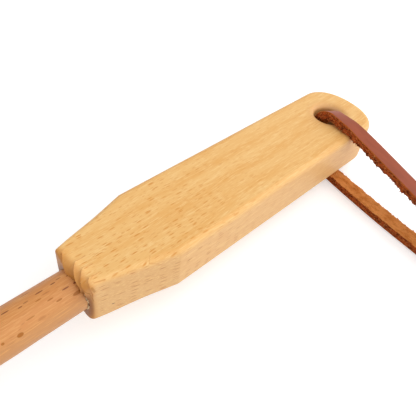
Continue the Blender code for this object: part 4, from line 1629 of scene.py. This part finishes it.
@dataclass
class Lace:
    """The leather lace, looped through the hanging hole and knotted.

    Attributes:
        foot: foot of the lace's swing axis on the table.
        width: of the strap.
        thickness: of the leather.
        ease: radius that eases the strap's corners.
        fuzz, flesh_fuzz: how far fibres roughen the cut edges, and the flesh side's share of it.
        lean: how far the strap is rolled where it comes out of the hole, in radians.
        lean_heights: heights between which it takes up its lean.
        lean_end, lean_start: how far out from the swing axis it has lost it, and how far before
            that it begins to.
        step, tail_step: between rows of points, in the loop and in a tail.
        fibre_pitch: distance along the strap for each loose fibre.
        fibre_length: of the longest.
        fibre_radius: radii of the thinnest and the thickest at the root.
        fibre_root: how deep a fibre is rooted.
        knot_centre: middle of the knot, from the foot.
        knot_size: length along y, width along x and height of the knot.
        knot_turns: turns of the strap round the legs.
        knot_squeeze: width and thickness of the strap in the knot, as shares of its own.
    """

    foot: Triple
    width: float = 0.0065
    thickness: float = 0.0036
    ease: float = 0.00028
    fuzz: float = 0.00034
    flesh_fuzz: float = 0.45
    lean: float = 0.46
    lean_heights: Pair = (0.0060, 0.0160)
    lean_end: float = 0.0220
    lean_start: float = 0.0229
    step: float = 0.00027
    tail_step: float = 0.00035
    fibre_pitch: float = 0.00050
    fibre_length: float = 0.0014
    fibre_radius: Pair = (0.00011, 0.00021)
    fibre_root: float = 0.00008
    knot_centre: Triple = (-0.0144, -0.113, 0.0055)
    knot_size: Triple = (0.014, 0.0168, 0.011)
    knot_turns: float = 2.0
    knot_squeeze: Pair = (0.86, 0.96)

    def section(self) -> tuple[Array, Array]:
        """Outline of the strap, walked round from the middle of the grain side.

        It is a rectangle with the grain side up, whose corners are eased by one more point.

        Returns:
            Points as (across, up), the first repeated at the end, and the side between each two.
        """
        half, top, ease = self.width / 2.0, self.thickness / 2.0, self.ease
        grain = np.linspace(0.0, half - ease, 6)
        edge = np.linspace(top - ease, ease - top, 15)
        right = np.concatenate(
            [
                np.stack([grain, np.full_like(grain, top)], -1),
                [[half - 0.3 * ease, top - 0.12 * ease]],
                np.stack([np.full_like(edge, half), edge], -1),
                [[half - 0.35 * ease, 0.15 * ease - top]],
                np.stack([grain[::-1], np.full_like(grain, -top)], -1),
            ]
        )
        sides = [Strap.GRAIN] * len(grain) + [Strap.CUT] * (len(edge) + 1)
        sides += [Strap.FLESH] * len(grain)
        ring = np.concatenate([right, (right * (-1.0, 1.0))[::-1][1:]])
        return ring, np.array(sides + sides[::-1])

    def arrises(self) -> Pair:
        """Places round the section, walked from the middle of the grain, where the grain ends."""
        length = float(walked(self.section()[0])[-1])
        return self.width / 2.0, length - self.width / 2.0

    def roll(self, line: Array) -> Array:
        """Angle by which the strap leans: most in the hole, none further out or under the grip."""
        out = (line[:, 1] - self.foot[1] + self.lean_end) / self.lean_start
        risen = smooth_step(line[:, 2], *self.lean_heights)
        return self.lean * risen * np.clip(out, 0.0, 1.0) ** 1.4

    def carried(
        self, line: Array, across: Array, up: Array, ring: Array, relief: Array | float = 0.0
    ) -> Grid:
        """Carries a section along a line: line + ring across + ring up at each of its points.

        Args:
            line: middle line.
            across: direction across the strap at each of its points.
            up: direction out of the grain side.
            ring: the section's outline.
            relief: how far each point of the skin stands out.

        Returns:
            The strap's skin.
        """
        uv = np.stack(np.broadcast_arrays(walked(line)[:, None], walked(ring)[None, :]), -1)
        shape = ring + np.asarray(relief)[..., None] * unit(ring)
        points = line[:, None] + shape[..., :1] * across[:, None] + shape[..., 1:] * up[:, None]
        return Grid(points, slots=self.section()[1], uv=uv)

    def sweep(self, line: Array, grain_side: int, seed: int) -> Grid:
        """Carries the section along a line, level across but for its roll.

        Cut edges and the flesh side are roughened by random relief, which grows over a cut edge
        from the grain to the flesh.

        Args:
            line: middle line, in the row frame.
            grain_side: 1 or -1, as in Stretch.
            seed: picks the relief.

        Returns:
            The strap's skin.
        """
        along = unit(np.gradient(line, axis=0))
        across = square_to(np.array([1.0, 0.0, 0.0]), along)
        up = np.cross(along, across) * grain_side
        c, s = np.cos(self.roll(line))[:, None], np.sin(self.roll(line))[:, None]
        across, up = c * across - s * up, c * up + s * across
        ring, sides = self.section()
        depth = np.clip(0.5 - ring[:-1, 1] / self.thickness, 0.0, 1.0)
        levels = [self.fuzz * depth**0.7, self.flesh_fuzz * self.fuzz]
        rough = np.select([sides == Strap.CUT, sides == Strap.FLESH], levels, 0.0)
        uv = np.stack(np.broadcast_arrays(walked(line)[:, None], walked(ring)[None, :]), -1)
        relief = np.zeros(uv.shape[:2])
        for number, (sizes, weight) in enumerate(RELIEF):
            relief += weight * ripple(uv, sizes, seed + number)
        relief[:, -1] = relief[:, 0]
        return self.carried(line, across, up, ring, relief * np.append(rough, rough[0]) * 0.6)

    def end_faces(self, skin: Grid, rings: int) -> list[Grid]:
        """Both flat ends of a length of strap, drawn in to their middles.

        Args:
            skin: the strap's skin.
            rings: rings from the middle out.

        Returns:
            One sheet for each end.
        """
        shares = np.linspace(0.0, 1.0, rings)[:, None, None]
        flat = np.broadcast_arrays(shares[..., 0] * self.thickness, skin.uv[0, :, 1])
        sides = np.full(len(skin.slots), int(Strap.CUT))
        faces = []
        for row in (skin.points[0], skin.points[-1]):
            middle = row[:-1].mean(0)
            faces.append(Grid(middle + shares * (row - middle), sides, uv=np.stack(flat, -1)))
        return faces

    def piece(self, stretch: Stretch, skin: Grid, rows: slice, seed: int, leather: list) -> Object:
        """Adds a length of the strap with its end faces and the loose fibres on its cut edges.

        Args:
            stretch: the stretch that it covers.
            skin: the skin that it is cut from.
            rows: its rows.
            seed: picks the fibres.
            leather: materials of its three sides.

        Returns:
            The piece.
        """
        part = Grid(skin.points[rows], slots=skin.slots, uv=skin.uv[rows])
        grids = [part, *self.end_faces(part, 5), *self.fibres(part, seed)]
        mesh = build_mesh(f"{stretch.name}_strap", grids)
        return add_piece(mesh, leather, Body.LACE, [stretch.name])

    def fibres(self, skin: Grid, seed: int) -> list[Grid]:
        """Loose fibres that stand off the middle and the flesh-side half of the cut edges.

        Each is a thin three-sided cone, bowed by t^2 to one side, rooted just inside the surface.

        Args:
            skin: the strap's skin.
            seed: picks them.

        Returns:
            A sheet for each fibre.
        """
        rng = np.random.default_rng(seed)
        points, uv = skin.points, skin.uv
        count = int(np.ptp(uv[:, 0, 0]) / self.fibre_pitch)
        quarters = np.array_split(np.flatnonzero(skin.slots == Strap.CUT), 4)
        column = rng.choice(np.concatenate(quarters[1:3]), count)
        row = rng.integers(2, len(points) - 2, count)
        root = points[row, column]
        along = unit(points[row + 1, column] - points[row - 1, column])
        away = square_to(root - points[row, :-1].mean(1), along)
        side = np.cross(along, away)
        way = away + along * rng.normal(0.0, 0.9, count)[:, None]
        way = unit(way + side * rng.normal(0.0, 0.5, count)[:, None])
        length = self.fibre_length * rng.uniform(0.4, 1.0, count) ** 1.5
        bow = along * rng.normal(0.0, 0.35, count)[:, None]
        bow = bow - side * rng.normal(0.0, 0.3, count)[:, None]
        t = np.linspace(0.0, 1.0, 5)
        line = root[:, None] - self.fibre_root * away[:, None]
        bent = way[:, None] * t[:, None] + bow[:, None] * t[:, None] ** 2
        line = line + length[:, None, None] * bent
        one = unit(np.cross(way, along + 0.3 * side))
        two = np.cross(way, one)
        radius = rng.uniform(*self.fibre_radius, count)[:, None] * (1.0 - 0.75 * t)
        angle = np.arange(4)[:, None] * math.tau / 3.0
        ring = np.cos(angle) * one[:, None, None] + np.sin(angle) * two[:, None, None]
        rings = line[:, :, None] + radius[..., None, None] * ring
        ends = [np.repeat(end[:, :, None], 4, 2) for end in (line[:, :1], line[:, -1:])]
        made = np.concatenate([ends[0], rings, ends[1]], 1)
        made[..., 2] = np.maximum(made[..., 2], TABLE_GAP)
        place = np.broadcast_to(uv[row, column][:, None, None], (*made.shape[:3], 2))
        slots = np.full(3, int(Strap.CUT))
        return [Grid(made[i], slots=slots, uv=place[i]) for i in range(count)]

    def build_tail(self, stretch: Stretch, seed: int, leather: list) -> Object:
        """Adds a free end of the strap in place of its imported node."""
        line = stretch.line(self.tail_step) + np.array(self.foot)
        skin = self.sweep(line, stretch.grain_side, seed)
        return self.piece(stretch, skin, slice(None), seed, leather)

    def build_loop(self, leather: list) -> list[Object]:
        """Adds the two legs and the bridge, cut from one strap so that they run on smoothly.

        Args:
            leather: materials of its three sides.

        Returns:
            The upper leg, the lower leg and the bridge.
        """
        route = [*LOWER.route[::-1], *BRIDGE.route[1:-1], *UPPER.route]
        line, starts = smooth_line(route, self.step)
        first = starts[len(LOWER.route) - 1]
        last = starts[len(LOWER.route) + len(BRIDGE.route) - 2]
        skin = self.sweep(line + np.array(self.foot), BRIDGE.grain_side, 60)
        rows = (slice(last, None), slice(0, first + 1), slice(first, last + 1))
        return [
            self.piece(stretch, skin, part, 80 + number, leather)
            for number, (stretch, part) in enumerate(zip((UPPER, LOWER, BRIDGE), rows))
        ]

    def knot_line(self) -> Array:
        """Middle line of the wraps round the legs, from the underside to the underside.

        The turn angle runs evenly while the line moves along the knot, on an ellipse half a strap
        inside the knot's width and height.
        """
        t = np.linspace(0.0, 1.0, 150)
        angle = -math.pi / 2.0 + math.tau * self.knot_turns * t
        length, width, height = self.knot_size
        x = (width - self.thickness) / 2.0 * np.cos(angle)
        y = (length - self.width * self.knot_squeeze[0]) * (0.5 - t)
        z = (height - self.thickness) / 2.0 * np.sin(angle)
        return np.stack([x, y, z], -1) + np.array(self.knot_centre) + np.array(self.foot)

    def build_knot(self, leather: list) -> Object:
        """Adds the knot: a strap wrapped round the two legs, its ends tucked under.

        The section stands across the wrap's own way and along the knot.

        Args:
            leather: materials of its three sides.

        Returns:
            The knot.
        """
        line = self.knot_line()
        along = unit(np.gradient(line, axis=0))
        outward = line - (np.array(self.knot_centre) + np.array(self.foot))
        outward[:, 1] = 0.0
        outward = square_to(outward, along)
        ring = self.section()[0] * self.knot_squeeze
        skin = self.carried(line, np.cross(outward, along), outward, ring)
        skin.points[..., 2] = np.maximum(skin.points[..., 2], TABLE_GAP)
        mesh = build_mesh("lace_knot_wraps", [skin, *self.end_faces(skin, 4)])
        return add_piece(mesh, leather, Body.LACE, ["lace_knot"])

    def build(self, leather: list) -> None:
        """Adds the whole lace.

        Args:
            leather: materials of its three sides.
        """
        upper, lower, bridge = self.build_loop(leather)
        knot = self.build_knot(leather)
        tails = [self.build_tail(tail, 72 + 3 * i, leather) for i, tail in enumerate(TAILS)]
        for leg, stretch, others in ((upper, UPPER, [bridge]), (lower, LOWER, [knot, *tails])):
            path = stretch.line(0.002) + np.array(self.foot)


@dataclass(frozen=True)
class Viewpoint:
    """The camera, at the photograph's viewing angle, measured in the brush's own frame.

    Attributes:
        azimuth, elevation: degrees round the brush, from looking along +y, and above its level.
        roll: degrees that the camera leans.
        distance: from what it looks at.
        aim: point that it looks at.
        focal_length: in metres, for the sensor's width.
    """

    azimuth: float = -50.123
    elevation: float = 46.232
    roll: float = 8.672
    distance: float = 0.18653
    aim: Triple = (0.05831, -0.0014, 0.0007)
    focal_length: float = 0.042024

    def build(self, place: BrushFrame) -> None:
        """Adds the camera and makes it the scene's.

        Args:
            place: where the brush lies.
        """
        azimuth, elevation, roll = map(math.radians, (self.azimuth, self.elevation, self.roll))
        back_x = math.sin(azimuth) * math.cos(elevation)
        back_y = -math.cos(azimuth) * math.cos(elevation)
        back = Vector((back_x, back_y, math.sin(elevation)))
        level = Vector((0.0, 0.0, 1.0)).cross(back).normalized()
        upright = back.cross(level)
        right = math.cos(roll) * level + math.sin(roll) * upright
        up = -math.sin(roll) * level + math.cos(roll) * upright
        position = place.place(np.array(self.aim) + self.distance * np.array(back))
        axes = place.turn(np.array([right, up, back]))
        data = bpy.data.cameras.new("photo_camera")
        data.sensor_width = MILLIMETRES_PER_METRE * SENSOR_WIDTH
        data.lens = MILLIMETRES_PER_METRE * self.focal_length
        data.clip_start = 0.01
        camera = link("photo_camera", data)
        turn = Matrix(axes.T.tolist()).to_4x4()
        camera.matrix_world = Matrix.Translation(Vector(position)) @ turn
        bpy.context.scene.camera = camera


@dataclass(frozen=True)
class Lamp:
    """A soft area lamp.

    Attributes:
        name: its name.
        direction: where it stands, seen from the brush.
        distance, size, watts: from the brush, of its square's side, and its power.
    """

    name: str
    direction: Triple
    distance: float
    size: float
    watts: float

    def build(self, target: Vector) -> None:
        """Adds the lamp, facing the target."""
        data = bpy.data.lights.new(self.name, "AREA")
        data.size = self.size
        data.energy = self.watts
        lamp = link(self.name, data)
        way = Vector(self.direction).normalized()
        turn = way.to_track_quat("Z", "Y").to_matrix().to_4x4()
        lamp.matrix_world = Matrix.Translation(target + self.distance * way) @ turn


@dataclass(frozen=True)
class Studio:
    """A pale floor, an even pale sky and two soft lamps.

    Attributes:
        sky: strength of the sky's light.
        floor_white: colour value of the floor.
        floor_glow: what the floor adds where it is looked at, to show white round the shadow.
        floor_side: side of the floor.
        lamps: the lamps.
    """

    sky: float = 0.62
    floor_white: float = 0.80
    floor_glow: float = 0.43
    floor_side: float = 6.0
    lamps: tuple[Lamp, ...] = (
        Lamp("key", (0.45, -0.70, 1.00), 0.9, 1.2, 5.5),
        Lamp("fill", (1.0, -0.50, 0.25), 0.9, 0.8, 2.0),
    )

    def looked_at(self, nodes: Nodes) -> Socket:
        """1 for rays from the camera, from gloss and through glass; 0 for light on the object."""
        rays = nodes.node("LightPath").outputs
        seen = nodes.math("MAXIMUM", rays["Is Camera Ray"], rays["Is Glossy Ray"])
        return nodes.math("MAXIMUM", seen, rays["Is Transmission Ray"])

    def build_sky(self) -> None:
        """Makes the world: white where it is looked at, and dimmer as a light."""
        world = bpy.data.worlds.new("studio")
        bpy.context.scene.world = world
        world.use_nodes = True
        nodes = Nodes(world.node_tree)
        strength = nodes.ramp(self.looked_at(nodes), 0.0, 1.0, self.sky, 1.0)
        background = nodes.tree.nodes["Background"]
        background.inputs["Color"].default_value = (1.0, 1.0, 1.0, 1.0)
        nodes.tree.links.new(strength, background.inputs["Strength"])

    def floor_material(self) -> Material:
        """Makes the floor's white, which glows where it is looked at and is clear from below."""
        material = bpy.data.materials.new("floor_white")
        material.use_nodes = True
        nodes = Nodes(material.node_tree)
        nodes.tree.nodes.remove(nodes.tree.nodes["Principled BSDF"])
        white = (self.floor_white,) * 3 + (1.0,)
        diffuse = nodes.node("BsdfDiffuse", {"Color": white}).outputs[0]
        strength = nodes.times(self.looked_at(nodes), self.floor_glow)
        glow = nodes.node("Emission", {"Strength": strength}).outputs[0]
        both = nodes.node("AddShader", {0: diffuse, 1: glow}).outputs[0]
        clear = nodes.node("BsdfTransparent").outputs[0]
        below = nodes.node("NewGeometry").outputs["Backfacing"]
        surface = nodes.node("MixShader", {0: below, 1: both, 2: clear}).outputs[0]
        output = nodes.tree.nodes["Material Output"]
        nodes.tree.links.new(surface, output.inputs["Surface"])
        return material

    def build_floor(self) -> None:
        """Adds the floor, which keeps the object's shadow."""
        half = self.floor_side / 2.0
        corners = [(-half, -half, 0.0), (half, -half, 0.0), (-half, half, 0.0), (half, half, 0.0)]
        mesh = bpy.data.meshes.new("floor")
        mesh.from_pydata(corners, [], [(0, 1, 3, 2)])
        mesh.materials.append(self.floor_material())
        link("floor", mesh)

    def build(self, target: Vector) -> None:
        """Adds sky, floor and lamps and sets the view transform."""
        bpy.context.scene.view_settings.view_transform = "Standard"
        self.build_sky()
        self.build_floor()
        for lamp in self.lamps:
            lamp.build(target)


# Weights of a line of painted shade drawn on the grip's top, on its near side and on its front
ON_TOP = (1.0, 1.0, 0.1)
ON_SIDE = (1.0, 0.1, 1.0)
ON_FRONT = (0.15, 1.0, 1.0)
# Weights of a zone of painted shade round the hole, over the front and round the rod
ROUND_HOLE = (1.0, 1.0, 0.0)
OVER_FRONT = (1.0, 0.0, 0.0)
ROUND_ROD = (5.0, 1.0, 1.0)
HOLE = (0.1360, 0.0008, 0.0)
# Painted shade: colours of the carved grooves and creases
GROOVE_SHADE = (0.42, 0.17, 0.02)
CREASE_SHADE = (0.62, 0.24, 0.05)
# Colours of the rod's dark dashes and amber marks
DASH = (0.19, 0.040, 0.003)
AMBER = (0.40, 0.125, 0.008)
# Half thickness of a mark on the rod, and those marks' x, y, z, half lengths, colour and share
MARK_DEPTH = 0.001
ROD_MARKS = (
    (-0.0221, 0.0011, 0.0074, 0.0013, 0.00022, DASH, 0.9),
    (-0.0179, -0.0001, 0.0075, 0.0007, 0.00018, DASH, 0.8),
    (-0.0159, 0.0004, 0.0075, 0.0009, 0.00018, DASH, 0.6),
    (-0.0112, 0.0010, 0.0074, 0.0013, 0.00022, DASH, 0.9),
    (-0.0127, -0.0012, 0.0074, 0.0010, 0.00018, AMBER, 0.9),
    (-0.0064, 0.0012, 0.0074, 0.0009, 0.00022, DASH, 0.9),
    (-0.0042, 0.0018, 0.0073, 0.0009, 0.00018, DASH, 0.7),
    (-0.0098, -0.0029, 0.0069, 0.0010, 0.00022, AMBER, 0.9),
    (-0.0077, -0.0043, 0.0062, 0.0010, 0.00025, AMBER, 0.9),
    (-0.0172, -0.0043, 0.0062, 0.0014, 0.00018, AMBER, 0.7),
    (-0.0146, 0.0035, 0.0066, 0.0015, 0.00018, DASH, 0.5),
    (-0.0019, -0.0051, 0.0055, 0.0016, 0.00045, AMBER, 0.95),
    (-0.0008, -0.0025, 0.0071, 0.0008, 0.00025, DASH, 0.9),
    (-0.0043, -0.0025, 0.0071, 0.0012, 0.00020, DASH, 0.9),
    (-0.0013, 0.0009, 0.0075, 0.0006, 0.00020, DASH, 0.8),
)

GRIP_BEECH = BeechFinish(
    name="beech",
    light=(0.865, 0.505, 0.175), dark=(0.81, 0.42, 0.115), pale=(0.92, 0.60, 0.25),
    side=(0.80, 0.465, 0.200), fleck=(0.70, 0.29, 0.050), side_fleck=(0.57, 0.215, 0.058),
    # front_end: end grain darkened by painted shade, where the front faces away from the lamps
    end=(0.84, 0.51, 0.25), front_end=(0.60, 0.255, 0.048),
    fleck_strength=1.0, fleck_share=0.52, fades_to=0.30,
    shade_zones=(
        # Painted shade: on the hole's sloping rim, inside the hole, over the carved front and round
        # the rod
        ShadeZone(HOLE, ROUND_HOLE, 0.0070, 0.0120, (0.74, 0.40, 0.150), 0.60),
        ShadeZone(HOLE, ROUND_HOLE, 0.0063, 0.0070, (0.34, 0.15, 0.030), 0.75),
        ShadeZone((-0.0010, 0.0, 0.0), OVER_FRONT, 0.0012, 0.0040, (0.62, 0.25, 0.045), 0.75),
        ShadeZone((0.0, 0.0, -0.0012), ROUND_ROD, 0.0084, 0.0120, (0.27, 0.085, 0.006), 0.88),
    ),
    marks=(Mark((0.0073, -0.0098, -0.0037), (0.0006, 0.0012, 0.00025), (0.22, 0.07, 0.03)),),
    shade_lines=(
        # Painted shade in the carved panels' creases, in the grooves on the front and near side,
        # and along the kink
        ShadeLine((0.0027, 0.0013, 0.0107), (0.0059, 0.0018, 0.0107), 0.00028, ON_TOP, CREASE_SHADE, 0.7),
        ShadeLine((0.0028, -0.0026, 0.0107), (0.0059, -0.0024, 0.0107), 0.00024, ON_TOP, CREASE_SHADE, 0.7),
        ShadeLine((0.0026, -0.0065, 0.0107), (0.0048, -0.0063, 0.0107), 0.00024, ON_TOP, CREASE_SHADE, 0.7),
        ShadeLine((0.0022, -0.0083, 0.0100), (0.0056, -0.0092, 0.0100), 0.00030, ON_TOP, CREASE_SHADE, 0.7),
        ShadeLine((0.0010, -0.0085, 0.0093), (0.0016, -0.0085, 0.0073), 0.00080, ON_SIDE, GROOVE_SHADE, 0.65),
        ShadeLine((0.0, -0.0050, 0.0090), (0.0, -0.0072, 0.0082), 0.00030, ON_FRONT, GROOVE_SHADE, 0.9),
        ShadeLine((0.0, -0.0072, 0.0082), (0.0, -0.0082, 0.0066), 0.00030, ON_FRONT, GROOVE_SHADE, 0.9),
        ShadeLine((0.0002, -0.0082, 0.0068), (0.0012, -0.0085, 0.0018), 0.00030, ON_SIDE, GROOVE_SHADE, 0.8),
        ShadeLine((0.0217, -0.0110, 0.0107), (0.0199, -0.0129, 0.0107), 0.00030, ON_TOP, CREASE_SHADE, 0.35),
        ShadeLine((0.0199, -0.0129, 0.0104), (0.0238, -0.0150, 0.0095), 0.00030, ON_TOP, CREASE_SHADE, 0.35),
    ),
)
ROD_BEECH = BeechFinish(
    name="rod_beech",
    light=(0.65, 0.27, 0.076), dark=(0.57, 0.21, 0.049), pale=(0.73, 0.36, 0.118),
    side=(0.60, 0.29, 0.115), fleck=(0.42, 0.13, 0.030), side_fleck=(0.46, 0.18, 0.055),
    end=(0.66, 0.36, 0.17), front_end=(0.66, 0.36, 0.17),
    fleck_strength=0.60, fleck_share=0.18,
    marks=(
        *(
            Mark((x, y, z), (along, across, MARK_DEPTH), colour, share)
            for x, y, z, along, across, colour, share in ROD_MARKS
        ),
        Mark((-0.0218, -0.0062, 0.0043), (0.0010, 0.0006, 0.0007), AMBER, 0.95),
        Mark((-0.0269, -0.0058, 0.0047), (0.0005, 0.0004, 0.0004), AMBER),
    ),
)
LACE_LEATHER = LeatherFinish(
    grain=(0.345, 0.073, 0.029), cut=(0.45, 0.085, 0.018), cut_dark=(0.15, 0.022, 0.006),
    cut_light=(0.64, 0.26, 0.085), arris=(0.58, 0.17, 0.040),
    flesh=(0.68, 0.27, 0.078), flesh_dark=(0.47, 0.140, 0.027),
)
TUFT_FIBRE = FibreFinish(pale=(0.72, 0.55, 0.32), brown=(0.34, 0.20, 0.09))
PIN_BRASS = BrassFinish(bright=(0.80, 0.58, 0.27), dull=(0.50, 0.34, 0.15))
DRIED_GLUE = GlueFinish(pale=(0.72, 0.52, 0.29), dark=(0.15, 0.055, 0.012))

# Sizes of the grip and of both planks of the head, as fields of Plank
GRIP = dict(length=0.154, width=0.0346, neck_width=0.0185, taper_length=0.0306, end_length=0.0132)
CARVED = dict(corner=0.0022, far_corner=0.0012, low_corner=0.0010, side_reach=(0.0022, 0.0200))
CARVED |= dict(bulge=0.0007, kink=0.0030, side_rows=30)
HEAD = dict(length=0.105, width=0.046, neck_width=0.022, taper_length=0.024, end_length=0.016)
FACES = dict(low=-0.010, high=0.010)


def dress_metal(material: Material) -> None:
    """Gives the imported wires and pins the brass."""
    for name, node in frame["nodes"].items():
        if name.startswith(("draw_wire", "board_pin")):
            node.data.materials.clear()
            node.data.materials.append(material)
            log.info("%s: kept, in brass", name)


def main() -> None:
    logging.basicConfig(level=logging.INFO, format="%(name)s: %(message)s")
    grip = Grip(Plank(**GRIP, **CARVED, **FACES, low_edge=0.0028, high_edge=0.0027))
    place = BrushFrame.from_record(frame["record"], grip.hole_x, grip.above)
    Viewpoint().build(place)
    Studio().build(Vector(place.place(np.array([grip.plank.length / 2.0, 0.0, 0.0]))))
    hinge = frame["record"]["behaviour"]["joints"][0]["pos_m"]
    lace = Lace(foot=(hinge[0], hinge[1], 0.0))
    lace.build(LACE_LEATHER.materials(lace.arrises()))
    beech, rod_beech = GRIP_BEECH.material(place), ROD_BEECH.material(place)
    rod = Rod()
    rod.build(place, rod_beech)
    grip.build(place, rod, beech)
    GlueBead(grip, rod).build(place, DRIED_GLUE.material())
    block = Plank(**HEAD, **FACES, low_edge=0.0006, high_edge=0.0028)
    board = Plank(**HEAD, low=-0.0183, high=-0.0103, low_edge=0.0015, high_edge=0.0006)
    head = Head(block, board, rod)
    head.build_block(place, beech)
    head.build_board(place, beech)
    Tufts(head).build(place, TUFT_FIBRE.material())
    dress_metal(PIN_BRASS.material())


if __name__ == "__main__":
    main()
